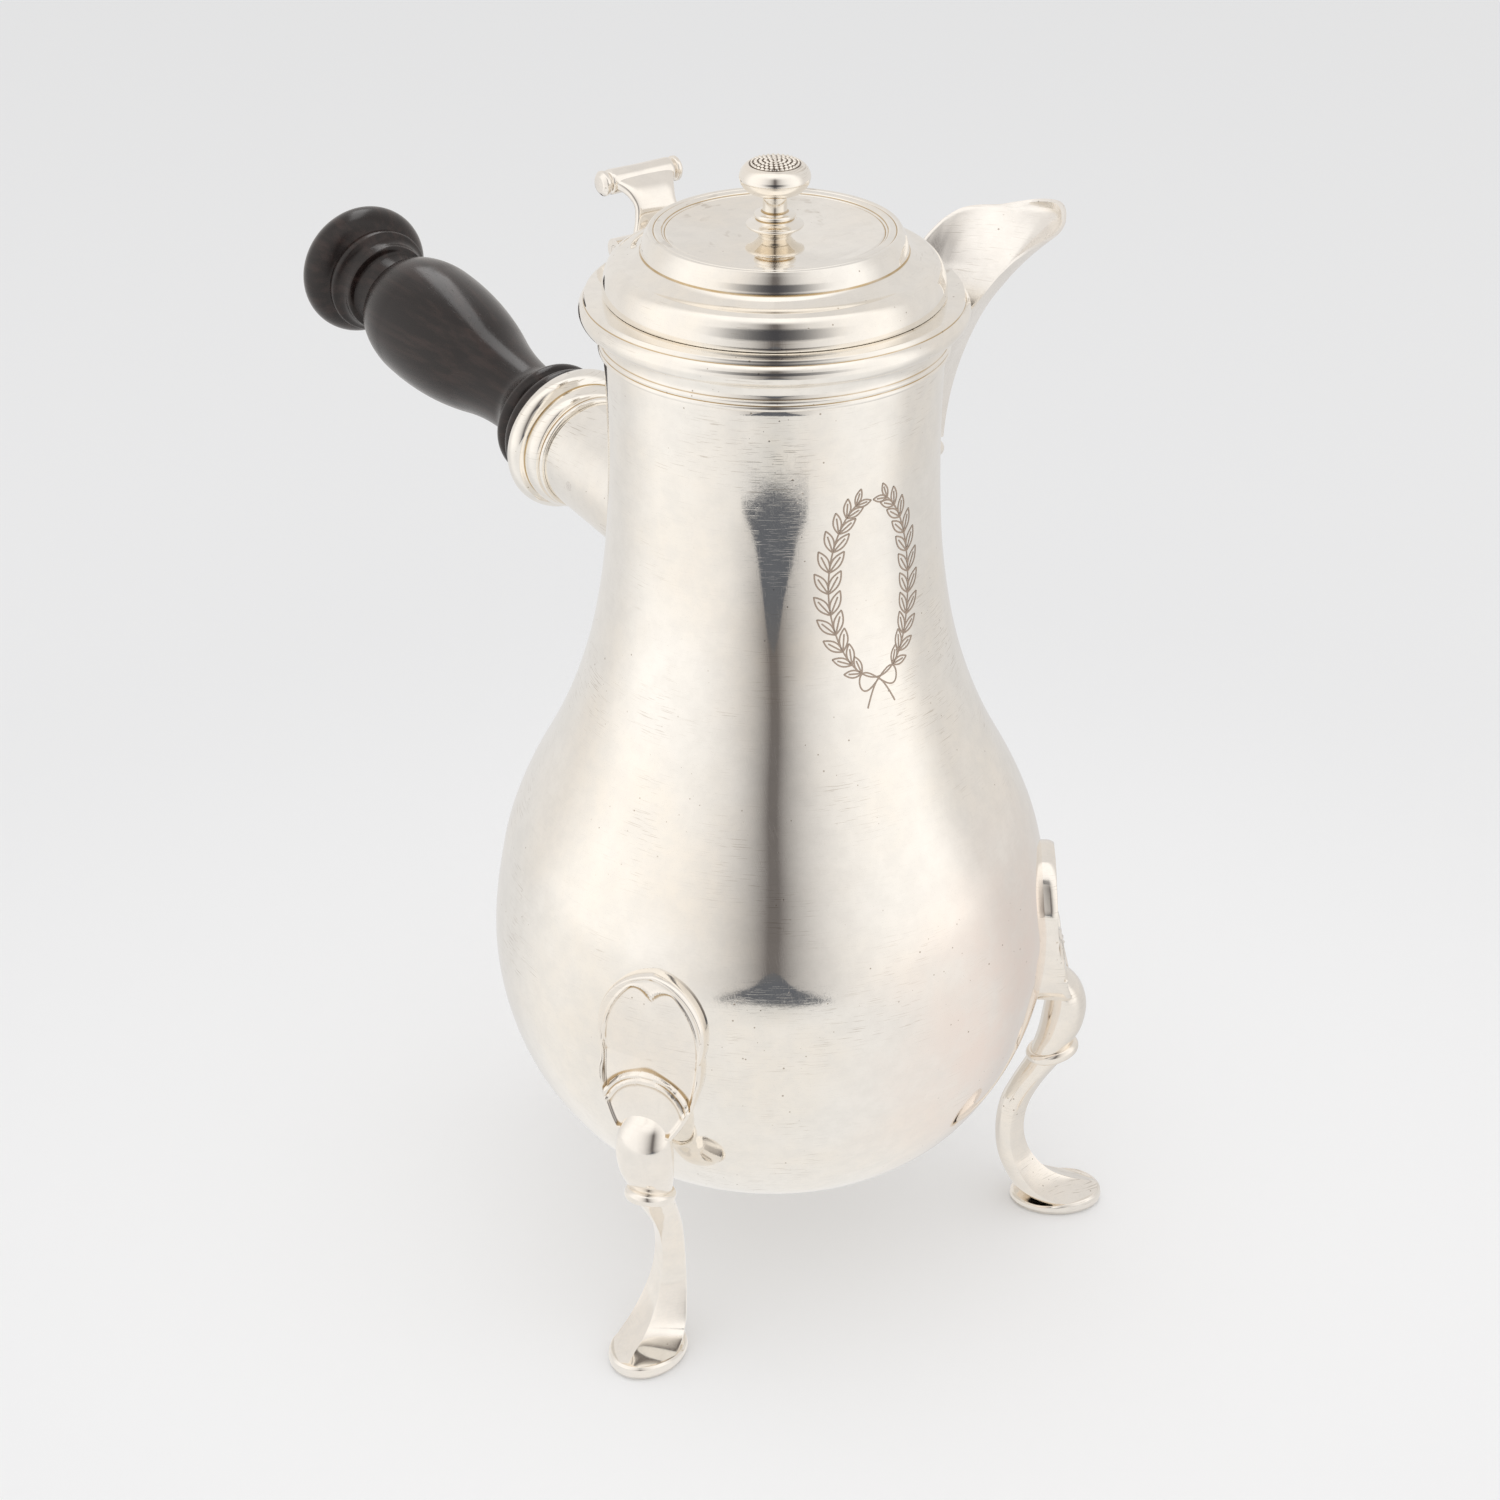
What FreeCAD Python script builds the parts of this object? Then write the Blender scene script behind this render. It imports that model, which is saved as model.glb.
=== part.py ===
import FreeCAD, Part
import math
import os
from types import SimpleNamespace

import Sketcher
from FreeCAD import Placement, Rotation, Vector

# Pear-shaped coffee pot on three feet, in millimetres.
# The pot stands on the plane z = 0 with its axis on Z, the handle points to +Y
# and the spout to +X, turned a little towards -Y.

SIZES = {
    # pot wall: belly, rounded bottom, shoulder and neck
    "wall": 1.2,
    "belly_radius": 61.1,
    "belly_height": 73.7,
    "base_height": 23.2,
    "base_turn": 53.0,
    "belly_curve": 64.0,
    "shoulder_curve": 85.0,
    "shoulder_turn": 29.7,
    "neck_radius": 34.9,
    "mouth_radius": 34.2,
    "rim_height": 221.0,
    # rim moulding, measured down from the rim
    "rim_ledge": 4.2,
    "bead_depth": 4.3,
    "bead_drop": 1.1,
    "bead_proud": 4.4,
    "cove_depth": 4.0,
    "reed_depth": 1.2,
    "reed_proud": 0.9,
    # lid
    "lid_gap": 0.3,
    "lid_overhang": 0.7,
    "ovolo_height": 5.2,
    "tier_inset": 3.7,
    "drum_inset": 4.9,
    "drum_height": 4.6,
    "lid_top_height": 13.2,
    "plate_inset": 4.1,
    "plate_sink": 1.8,
    "bezel_clearance": 0.9,
    "bezel_depth": 6.5,
    # finial
    "tenon_radius": 1.5,
    "tenon_clearance": 0.05,
    "finial_height": 16.2,
    "button_radius": 7.2,
    "button_height": 7.6,
    "cap_radius": 5.3,
    "flange_radius": 5.7,
    "flange_height": 4.0,
    "nut_radius": 4.2,
    "nut_height": 2.4,
    # hinge and thumbpiece
    "hinge_stand": 13.8,
    "hinge_drop": 4.2,
    "barrel_radius": 2.5,
    "barrel_length": 16.0,
    "lid_knuckle": 6.4,
    "knuckle_gap": 0.3,
    "pin_radius": 1.0,
    "pin_clearance": 0.05,
    "strap_thickness": 1.7,
    "thumb_height": 14.2,
    "thumb_lean": 2.4,
    "thumb_stand": 5.0,
    "thumb_thickness": 2.0,
    "thumb_roll": 2.7,
    "thumb_width": 20.0,
    "thumb_waist": 9.6,
    "thumb_foot": 13.6,
    # spout
    "spout_turn": 7.0,
    "spout_reach": 67.5,
    "spout_width": 32.6,
    "spout_depth": 54.0,
    "spout_proud": 5.6,
    "spout_lip": 5.4,
    "spout_wall": 1.2,
    "drop_radius": 3.3,
    "drop_length": 9.5,
    "drop_fall": 45.4,
    "hole_radius": 1.3,
    "hole_pitch": 5.0,
    # handle, measured out from the axis of the pot along the handle
    "handle_height": 151.7,
    "handle_tilt": 6.5,
    "socket_radius": 12.6,
    "socket_wall": 1.2,
    "socket_end": 83.0,
    "ring_length": 10.8,
    "ring_radius": 17.0,
    "tenon_play": 0.1,
    "tenon_length": 32.0,
    "collar_radius": 14.6,
    "collar_length": 13.5,
    "grip_neck": 8.9,
    "grip_length": 60.0,
    "grip_radius": 14.7,
    "knob_neck": 8.1,
    "knob_gap": 14.0,
    "knob_radius": 15.4,
    "knob_length": 15.3,
    "cross_pin_radius": 1.1,
    "cross_pin_place": 62.0,
    # feet
    "foot_reach": 65.6,
    "left_foot_turn": 58.6,
    "right_foot_turn": 54.0,
    "pad_length": 21.0,
    "pad_width": 16.2,
    "pad_height": 2.1,
    "shank_reach": 54.2,
    "shank_depth": 5.2,
    "shank_width": 6.4,
    "knee_stand": 3.3,
    "knee_height": 53.4,
    "knee_depth": 10.0,
    "knee_width": 12.2,
    "collar_height": 42.0,
    "shield_top": 93.6,
    "shield_bottom": 57.0,
    "shield_width": 22.8,
    "shield_panel": 1.7,
    "shield_border": 2.8,
    "border_width": 1.9,
}

doc = FreeCAD.newDocument("coffee_pot")
sheet = doc.addObject("Spreadsheet::Sheet", "Sizes")
for row, (name, value) in enumerate(SIZES.items(), 1):
    sheet.set(f"A{row}", name)
    sheet.set(f"B{row}", str(value))
    sheet.setAlias(f"B{row}", name)
doc.recompute()


class Dim:
    """A size: its number, and the sheet formula that gives it."""

    def __init__(self, value, text):
        self.value = float(value)
        self.text = text

    def __add__(self, other):
        other = dim(other)
        return Dim(self.value + other.value, f"({self.text} + {other.text})")

    def __sub__(self, other):
        other = dim(other)
        return Dim(self.value - other.value, f"({self.text} - {other.text})")

    def __mul__(self, other):
        other = dim(other)
        return Dim(self.value * other.value, f"({self.text} * {other.text})")

    def __truediv__(self, other):
        other = dim(other)
        return Dim(self.value / other.value, f"({self.text} / {other.text})")

    def __neg__(self):
        return Dim(-self.value, f"(0 - {self.text})")

    __radd__ = __add__
    __rmul__ = __mul__


def dim(value):
    return value if isinstance(value, Dim) else Dim(value, repr(float(value)))


def sine(angle):
    return Dim(math.sin(math.radians(angle.value)), f"sin({angle.text})")


def cosine(angle):
    return Dim(math.cos(math.radians(angle.value)), f"cos({angle.text})")


def root(square):
    return Dim(math.sqrt(square.value), f"sqrt({square.text})")


S = SimpleNamespace(**{name: Dim(sheet.get(name), f"Sizes.{name}") for name in SIZES})


def origin_plane(body, role):
    return next(part for part in body.Origin.OriginFeatures if part.Role == role)


def place_point(sketch, geometry, end, corner):
    """Ties one end of an edge to a corner given by two sizes."""
    for kind, axis, size in (("DistanceX", -2, corner[0]), ("DistanceY", -1, corner[1])):
        if size.value == 0:
            sketch.addConstraint(Sketcher.Constraint("PointOnObject", geometry, end, axis))
        else:
            index = sketch.addConstraint(Sketcher.Constraint(kind, geometry, end, size.value))
            sketch.setExpression(f"Constraints[{index}]", size.text)


def draw_outline(sketch, path):
    """A closed outline of lines and arcs.

    The path holds (x, y) corners. A third number is the turn, in degrees, of the arc that
    runs on to the next corner, positive when it bends to the left.
    """
    corners = [(dim(corner[0]), dim(corner[1])) for corner in path]
    turns = [dim(corner[2]) if len(corner) > 2 else None for corner in path]
    for index, turn in enumerate(turns):
        here, there = corners[index], corners[(index + 1) % len(corners)]
        first = Vector(here[0].value, here[1].value, 0)
        last = Vector(there[0].value, there[1].value, 0)
        if turn is None:
            edge = sketch.addGeometry(Part.LineSegment(first, last), False)
            ends = (1, 2)
        else:
            chord = last - first
            bend = math.radians(turn.value)
            side = Vector(-chord.y, chord.x, 0)
            centre = first + chord * 0.5 + side * (0.5 / math.tan(bend / 2))
            radius = abs(chord.Length / (2 * math.sin(bend / 2)))
            starts = first if bend > 0 else last
            angle = math.atan2(starts.y - centre.y, starts.x - centre.x)
            circle = Part.Circle(centre, Vector(0, 0, 1), radius)
            edge = sketch.addGeometry(Part.ArcOfCircle(circle, angle, angle + abs(bend)), False)
            ends = (1, 2) if bend > 0 else (2, 1)
            run = there[0] - here[0]
            rise = there[1] - here[1]
            formula = root(run * run + rise * rise) / (sine(turn / 2) * (2 if bend > 0 else -2))
            held = sketch.addConstraint(Sketcher.Constraint("Radius", edge, radius))
            sketch.setExpression(f"Constraints[{held}]", formula.text)
        place_point(sketch, edge, ends[0], here)
        place_point(sketch, edge, ends[1], there)


def new_body(label):
    body = doc.addObject("PartDesign::Body", label)
    body.Label = label
    return body


def new_sketch(body, name, role, path=None):
    sketch = body.newObject("Sketcher::SketchObject", name)
    sketch.AttachmentSupport = [(origin_plane(body, role), "")]
    sketch.MapMode = "FlatFace"
    if path:
        draw_outline(sketch, path)
    return sketch


def turned(label, path):
    """A piece turned about Z from an outline of (radius, height) corners."""
    body = new_body(label)
    sketch = new_sketch(body, f"{label}_outline", "XZ_Plane", path)
    turning = body.newObject("PartDesign::Revolution", f"{label}_turning")
    turning.Profile = sketch
    turning.ReferenceAxis = (sketch, ["V_Axis"])
    turning.Angle = 360
    sketch.Visibility = False
    return body


def draw_circle(sketch, centre, radius):
    spot = (dim(centre[0]), dim(centre[1]))
    middle = Vector(spot[0].value, spot[1].value, 0)
    circle = sketch.addGeometry(Part.Circle(middle, Vector(0, 0, 1), radius.value), False)
    place_point(sketch, circle, 3, spot)
    held = sketch.addConstraint(Sketcher.Constraint("Radius", circle, radius.value))
    sketch.setExpression(f"Constraints[{held}]", radius.text)


def slab(body, kind, sketch, length):
    """Adds (Pad) or takes away (Pocket) a sketch, equally to both sides of its plane."""
    feature = body.newObject(f"PartDesign::{kind}", f"{sketch.Name}_{kind.lower()}")
    feature.Profile = sketch
    feature.Midplane = True
    feature.Length = length.value
    feature.setExpression("Length", length.text)
    return feature


def padded(body, name, path, length):
    """A slab of the body, equal to both sides of the YZ plane."""
    return slab(body, "Pad", new_sketch(body, name, "YZ_Plane", path), length)


def round_bar(body, name, centre, radius, length):
    """A round bar along X, equal to both sides of the YZ plane."""
    sketch = new_sketch(body, name, "YZ_Plane")
    draw_circle(sketch, centre, radius)
    return slab(body, "Pad", sketch, length)


def drilled(body, name, centres, radius):
    """Round holes along X right through the body."""
    sketch = new_sketch(body, f"{name}_circles", "YZ_Plane")
    for centre in centres:
        draw_circle(sketch, centre, radius)
    hole = body.newObject("PartDesign::Pocket", name)
    hole.Profile = sketch
    hole.Type = "ThroughAll"
    hole.Midplane = True
    return hole


def cut_by(label, base, *tools):
    """The base with the room of each tool taken out."""
    for number, tool in enumerate(tools, 1):
        cut = doc.addObject("Part::Cut", f"{label}_cut_{number}")
        cut.Base = base
        cut.Tool = tool
        base = cut
    base.Label = label
    return base


def made(label, shape):
    """A piece whose curved shape is worked out from the sheet's sizes."""
    piece = doc.addObject("Part::Feature", label)
    piece.Label = label
    piece.Shape = shape
    return piece


def tie_placement(piece, **formulas):
    """Binds parts of a placement: x, y, z or turn, about the axis already set."""
    paths = {"x": "Base.x", "y": "Base.y", "z": "Base.z", "turn": "Rotation.Angle"}
    for key, size in formulas.items():
        piece.setExpression(f"Placement.{paths[key]}", size.text)


# Pot wall

def pot_outline(inset):
    """Half section of the pot, moved inwards: flat, two arcs to the belly, two to the neck.

    Each arc starts in the direction in which the one before it ends, so the wall is smooth
    whatever the sizes are. Inset corners lie on the normals of the outer ones.
    """
    fall = dim(1) - cosine(S.base_turn)
    lean = dim(1) - cosine(S.shoulder_turn)
    haunch_x = S.belly_radius - S.belly_curve * (dim(1) - sine(S.base_turn))
    haunch_z = S.belly_height - S.belly_curve * cosine(S.base_turn)
    base_curve = (haunch_z - S.base_height) / fall
    base_x = haunch_x - base_curve * sine(S.base_turn)
    shoulder_x = S.belly_radius - S.shoulder_curve * lean
    shoulder_z = S.belly_height + S.shoulder_curve * sine(S.shoulder_turn)
    neck_curve = (shoulder_x - S.neck_radius) / lean
    neck_z = shoulder_z + neck_curve * sine(S.shoulder_turn)
    inset = dim(inset)
    return [
        (0, S.base_height + inset),
        (base_x, S.base_height + inset, S.base_turn),
        (haunch_x - inset * sine(S.base_turn), haunch_z + inset * cosine(S.base_turn), dim(90) - S.base_turn),
        (S.belly_radius - inset, S.belly_height, S.shoulder_turn),
        (
            shoulder_x - inset * cosine(S.shoulder_turn),
            shoulder_z - inset * sine(S.shoulder_turn),
            -S.shoulder_turn,
        ),
        (S.neck_radius - inset, neck_z),
        (S.mouth_radius - inset, S.rim_height),
    ]


def reversed_path(path):
    """The same path walked backwards, with its arcs bending the other way."""
    back = []
    for index in range(len(path) - 1, -1, -1):
        turn = path[index - 1][2:] if index else ()
        back.append(tuple(path[index][:2]) + tuple(-bend for bend in turn))
    return back


outer_wall = pot_outline(0)
neck_start = outer_wall[5]


def neck_wall(height):
    """Outer radius of the neck at a height."""
    share = (height - neck_start[1]) / (S.rim_height - neck_start[1])
    return S.neck_radius + (S.mouth_radius - S.neck_radius) * share


pot_room = turned("pot_room", outer_wall + [(0, S.rim_height)])
pot = turned("pot_body", outer_wall + reversed_path(pot_outline(S.wall)))

# Strainer: rows of holes through the wall behind the spout
strainer_top = S.rim_height - S.spout_lip * 2 - S.hole_pitch
strainer = [
    (S.hole_pitch * (step - (count - 1) / 2), strainer_top - S.hole_pitch * row)
    for row, count in enumerate((4, 3, 2, 1))
    for step in range(count)
]
strainer_holes = drilled(pot, "strainer", strainer, S.hole_radius)
strainer_holes.Midplane = False
strainer_holes.Type = "Length"
strainer_holes.Length = S.belly_radius.value
strainer_holes.setExpression("Length", S.belly_radius.text)
strainer_holes.Reversed = True
pot.Placement = Placement(Vector(), Rotation(Vector(0, 0, -1), S.spout_turn.value))
tie_placement(pot, turn=S.spout_turn)

# Rim moulding: ledge, bead, cove and two reeds round the top of the neck
rim_bottom = S.rim_height - S.bead_drop - S.bead_depth - S.cove_depth - S.reed_depth * 2
bead_top = S.rim_height - S.bead_drop
bead_bottom = bead_top - S.bead_depth
reed_top = bead_bottom - S.cove_depth
reed_radius = neck_wall(reed_top) + S.reed_proud
rim = turned("rim_moulding", [
    (neck_wall(rim_bottom), rim_bottom),
    (reed_radius, rim_bottom, 130),
    (reed_radius, rim_bottom + S.reed_depth, 130),
    (reed_radius, reed_top, -70),
    (S.mouth_radius + S.rim_ledge - S.bead_drop, bead_bottom),
    (S.mouth_radius + S.bead_proud, bead_bottom, 110),
    (S.mouth_radius + S.bead_proud, bead_top),
    (S.mouth_radius + S.rim_ledge, S.rim_height),
    (S.mouth_radius, S.rim_height),
])

# Lid: stepped cover, open below, with a ring that drops into the neck
lid_edge = S.mouth_radius + S.lid_overhang
tier_radius = lid_edge - S.tier_inset
drum_radius = tier_radius - S.drum_inset
plate_radius = drum_radius - S.plate_inset
lid_bottom = S.rim_height + S.lid_gap
lid_top = S.rim_height + S.lid_top_height
plate_level = lid_top - S.plate_sink
tier_level = lid_bottom + S.ovolo_height
drum_foot = lid_top - S.drum_height
hole_radius = S.tenon_radius + S.tenon_clearance
bezel_radius = S.mouth_radius - S.wall - S.bezel_clearance
cover_outline = [
    (lid_edge, lid_bottom),
    (lid_edge, lid_bottom + S.wall, 80),
    (tier_radius, tier_level),
    (drum_radius + S.wall, drum_foot - S.wall / 2, -60),
    (drum_radius, drum_foot + S.wall, 40),
    (drum_radius - S.wall / 2, lid_top),
    (plate_radius, lid_top - S.wall / 4, 8),
]
cover_room = turned("cover_room", [(0, lid_bottom)] + cover_outline + [(0, plate_level)])
cover = turned("lid_cover", cover_outline + [
    (hole_radius, plate_level),
    (hole_radius, plate_level - S.wall, -8),
    (plate_radius, lid_top - S.wall * 1.25),
    (drum_radius - S.wall, lid_top - S.wall * 1.25),
    (drum_radius - S.wall, drum_foot - S.wall),
    (tier_radius - S.wall, tier_level - S.wall),
    (bezel_radius, lid_bottom + S.wall),
    (bezel_radius - S.wall, lid_bottom + S.wall),
    (bezel_radius - S.wall, lid_bottom),
])
bezel = turned("lid_bezel", [
    (bezel_radius - S.wall, lid_bottom - S.bezel_depth),
    (bezel_radius, lid_bottom - S.bezel_depth),
    (bezel_radius, lid_bottom),
    (bezel_radius - S.wall, lid_bottom),
])

# Finial: flanged stem and button, with a tenon through the lid and a nut below
finial_top = plate_level + S.finial_height
button_foot = finial_top - S.button_height
flange_level = plate_level + S.flange_height
stem_radius = S.tenon_radius + S.wall / 2
finial = turned("finial", [
    (0, plate_level - S.wall - S.nut_height),
    (S.tenon_radius, plate_level - S.wall - S.nut_height),
    (S.tenon_radius, plate_level),
    (stem_radius, plate_level, -50),
    (S.flange_radius, flange_level - S.wall / 2),
    (S.flange_radius, flange_level, -55),
    (stem_radius + S.wall, flange_level + S.wall, 170),
    (stem_radius + S.wall, flange_level + S.wall * 2),
    (stem_radius, flange_level + S.wall * 2),
    (stem_radius, button_foot),
    (S.button_radius * 0.6, button_foot, 75),
    (S.button_radius, button_foot + S.button_height * 0.5, 60),
    (S.cap_radius, finial_top - S.wall / 2, 14),
    (S.wall / 2, finial_top),
    (0, finial_top),
])
nut = turned("finial_nut", [
    (hole_radius, plate_level - S.wall - S.nut_height),
    (S.nut_radius, plate_level - S.wall - S.nut_height),
    (S.nut_radius, plate_level - S.wall),
    (hole_radius, plate_level - S.wall),
])

# Hinge: two knuckles on the pot, one on the lid, and the pin

hinge_reach = S.mouth_radius + S.hinge_stand
hinge_z = S.rim_height - S.hinge_drop
slot_width = S.lid_knuckle + S.knuckle_gap * 2
pin_hole = S.pin_radius + S.pin_clearance
rim_reach = S.mouth_radius + S.bead_proud + S.wall * 1.5
barrel_inner = (hinge_reach - S.barrel_radius * 0.8, hinge_z + S.barrel_radius * 0.6)
barrel_axis = (hinge_reach, hinge_z)

bracket_blank = new_body("bracket_blank")
padded(bracket_blank, "bracket_arm", [
    (S.mouth_radius - S.wall, rim_bottom - S.wall * 2),
    (hinge_reach, hinge_z - S.barrel_radius, 233.13),
    barrel_inner,
    (S.mouth_radius - S.wall, bead_bottom),
], S.barrel_length)
slot_sketch = new_sketch(bracket_blank, "bracket_slot_outline", "YZ_Plane", [
    (hinge_reach - S.barrel_radius * 2, rim_bottom - S.barrel_radius),
    (hinge_reach + S.barrel_radius * 2, rim_bottom - S.barrel_radius),
    (hinge_reach + S.barrel_radius * 2, S.rim_height),
    (hinge_reach - S.barrel_radius * 2, S.rim_height),
])
slab(bracket_blank, "Pocket", slot_sketch, slot_width)
drilled(bracket_blank, "bracket_bore", [barrel_axis], pin_hole)
bracket = cut_by("hinge_bracket", bracket_blank, pot_room, rim)

pin = new_body("hinge_pin")
round_bar(pin, "hinge_pin_bar", barrel_axis, S.pin_radius, S.barrel_length)

strap_blank = new_body("strap_blank")
padded(strap_blank, "strap_bar", [
    (lid_edge - S.wall, lid_bottom),
    (rim_reach, lid_bottom),
    barrel_inner,
    (hinge_reach, hinge_z + S.barrel_radius),
    (rim_reach, lid_bottom + S.strap_thickness),
    (lid_edge - S.wall, lid_bottom + S.strap_thickness),
], S.lid_knuckle)
round_bar(strap_blank, "strap_knuckle", barrel_axis, S.barrel_radius, S.lid_knuckle)
drilled(strap_blank, "strap_bore", [barrel_axis], pin_hole)
strap = cut_by("lid_strap", strap_blank, cover_room)

# Thumbpiece: plate with a waist, leaning back over the hinge and rolled at the top
roll_y = hinge_reach + S.thumb_lean
roll_z = hinge_z + S.thumb_height
stand_y = hinge_reach - S.thumb_stand
thumb_low = lid_bottom - S.thumb_thickness / 2
waist_z = lid_bottom + S.thumb_height * 0.42
flare_half = S.thumb_width / 2 - S.thumb_roll * 0.8
thumb_blank = new_body("thumb_blank")
padded(thumb_blank, "thumb_plate", [
    (stand_y - S.thumb_thickness / 2, thumb_low),
    (stand_y + S.thumb_thickness / 2, thumb_low),
    (stand_y + S.thumb_thickness / 2, waist_z - S.thumb_thickness, -38),
    (roll_y, roll_z - S.thumb_roll * 0.5),
    (roll_y - S.thumb_roll * 0.7, roll_z + S.thumb_roll * 0.7),
    (stand_y + S.thumb_thickness, waist_z + S.thumb_thickness, 38),
    (stand_y - S.thumb_thickness / 2, waist_z - S.thumb_thickness),
], S.thumb_width - S.thumb_roll)
side_cuts = new_sketch(thumb_blank, "thumb_sides", "XZ_Plane")
for side in (1, -1):
    draw_outline(side_cuts, [
        (S.thumb_foot / 2 * side, thumb_low - S.thumb_roll, -50 * side),
        (S.thumb_waist / 2 * side, waist_z, -50 * side),
        (flare_half * side, roll_z + S.thumb_roll),
        (S.thumb_width * side, roll_z + S.thumb_roll),
        (S.thumb_width * side, thumb_low - S.thumb_roll),
    ])
waist_cut = thumb_blank.newObject("PartDesign::Pocket", "thumb_waist_cut")
waist_cut.Profile = side_cuts
waist_cut.Type = "ThroughAll"
waist_cut.Midplane = True
round_bar(thumb_blank, "thumb_scroll", (roll_y, roll_z), S.thumb_roll, S.thumb_width)
thumbpiece = cut_by("thumbpiece", thumb_blank, strap)

# Spout: beak open at the top, its plan a rounded point, its edge rising from the rim

spout_root = S.mouth_radius.value - S.spout_wall.value * 5
lip_level = S.rim_height.value + S.spout_lip.value
keel_foot = lip_level - S.spout_depth.value
keel_tip = lip_level + S.spout_lip.value * 0.056
fan_foot = lip_level - S.spout_depth.value * 0.89
fan_full = lip_level - S.spout_depth.value * 0.19


def spout_plan(height, inset):
    """Plan section of the beak at a height, moved inwards.

    With s the way up the keel and t the way out along the section, the keel stands out by
    s**2.6 and the half width is w * (1 - t**p)**q. The nose is sharp below (p near 1.7) and
    rounds out just under the lip, where s**8 comes in.
    """
    share = min((height - keel_foot) / (keel_tip - keel_foot), 1)
    foot = neck_wall(dim(keel_foot)).value + S.spout_proud.value
    reach = foot + (S.spout_reach.value - foot) * share**2.6 - inset * 1.3
    fan = min((height - fan_foot) / (fan_full - fan_foot), 1) ** 0.8
    half = S.spout_width.value / 2 * fan - inset
    power = 1.7 + 1.9 * share**8
    bluntness = 1 - 0.2 * share**8
    near = []
    for step in (0, 0.2, 0.4, 0.58, 0.74, 0.87, 0.96, 1):
        across = -half * (1 - step**power) ** bluntness
        near.append(Vector(spout_root + (reach - spout_root) * step, across, height))
    far = [Vector(point.x, -point.y, point.z) for point in reversed(near[:-1])]
    curve = Part.BSplineCurve()
    curve.interpolate(near + far)
    return Part.Wire([curve.toShape(), Part.makeLine(far[-1], near[0])])


def spout_blank(inset, first):
    """Skin through plan sections, from a share of the depth up to above the lip."""
    levels = [first, 0.26, 0.38, 0.5, 0.62, 0.74, 0.83, 0.9, 0.96, 1.01, 1.06]
    heights = [keel_foot + S.spout_depth.value * level for level in levels]
    return Part.makeLoft([spout_plan(height, inset) for height in heights], True)


def lip_cutter():
    """Everything above the edge, which climbs steeply from the rim and levels off."""
    mouth = S.mouth_radius.value
    run = S.spout_reach.value - mouth
    rise = S.spout_lip.value
    aside = S.spout_width.value
    top = lip_level + S.spout_depth.value
    start = Vector(spout_root, -aside, S.rim_height.value - S.spout_lip.value * 2)
    bend = Vector(mouth + run * 0.3, -aside, lip_level - rise * 0.7)
    middle = Vector(bend.x + run * 0.114, -aside, lip_level - rise * 0.26)
    crest = Vector(mouth + run * 0.54, -aside, lip_level - rise * 0.074)
    dip = Vector((crest.x + S.spout_reach.value) / 2, -aside, lip_level - rise * 0.056)
    tip = Vector(mouth + run * 1.09, -aside, lip_level + rise * 0.37)
    above_tip = Vector(tip.x, -aside, top)
    above_start = Vector(start.x, -aside, top)
    edges = [
        Part.makeLine(start, bend),
        Part.Arc(bend, middle, crest).toShape(),
        Part.Arc(crest, dip, tip).toShape(),
        Part.makeLine(tip, above_tip),
        Part.makeLine(above_tip, above_start),
        Part.makeLine(above_start, start),
    ]
    return Part.Face(Part.Wire(edges)).extrude(Vector(0, 2 * aside, 0))


doc.recompute()
spout_turning = Rotation(Vector(0, 0, -1), S.spout_turn.value)
beak = spout_blank(0, 0.165).cut(spout_blank(S.spout_wall.value, 0.21)).cut(lip_cutter())
beak = beak.cut(pot_room.Shape).cut(rim.Shape)
spout = made("spout", max(beak.Solids, key=lambda solid: solid.Volume))
spout.Placement = Placement(Vector(), spout_turning)

drop_top = S.rim_height + S.spout_lip - S.drop_fall
drop_blank = turned("drop_blank", [
    (0, -S.drop_length),
    (S.drop_radius * 0.25, -S.drop_length, 60),
    (S.drop_radius * 0.75, -S.drop_length * 0.45, 70),
    (S.drop_radius * 0.6, -S.drop_length * 0.3),
    (S.drop_radius * 0.8, -S.drop_length * 0.3, 150),
    (S.drop_radius * 0.8, 0),
    (0, 0),
])
drop_reach = neck_wall(drop_top) + S.drop_radius * 0.6
tie_placement(
    drop_blank,
    x=drop_reach * cosine(S.spout_turn),
    y=-drop_reach * sine(S.spout_turn),
    z=drop_top,
)
drop = cut_by("spout_drop", drop_blank, pot_room, spout)

# Handle: wood grip with a tenon in a silver socket, along an axis tilted up from +Y

def along_handle(body):
    body.Placement = Placement(Vector(), Rotation(Vector(-1, 0, 0), 90 - S.handle_tilt.value))
    tie_placement(body, z=S.handle_height, turn=dim(90) - S.handle_tilt)
    return body


socket_bore = S.socket_radius - S.socket_wall
pin_bore = S.cross_pin_radius + S.tenon_clearance
socket_blank = turned("socket_blank", [
    (socket_bore, S.neck_radius / 2),
    (S.socket_radius, S.neck_radius / 2),
    (S.socket_radius, S.socket_end),
    (socket_bore, S.socket_end),
])
drilled(socket_blank, "socket_pin_hole", [(0, S.cross_pin_place)], pin_bore)
along_handle(socket_blank)
socket = cut_by("handle_socket", socket_blank, pot_room)

ring_start = S.socket_end - S.ring_length
torus_foot = S.ring_radius - S.socket_wall * 1.67
ring = along_handle(turned("socket_ring", [
    (S.socket_radius, ring_start),
    (S.socket_radius + S.socket_wall / 3, ring_start, 120),
    (S.socket_radius + S.socket_wall * 0.6, ring_start + S.ring_length * 0.11),
    (S.socket_radius + S.socket_wall, ring_start + S.ring_length * 0.11, 60),
    (torus_foot, ring_start + S.ring_length / 2),
    (torus_foot, ring_start + S.ring_length * 0.53, 150),
    (torus_foot, S.socket_end),
    (S.socket_radius, S.socket_end),
]))

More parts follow.
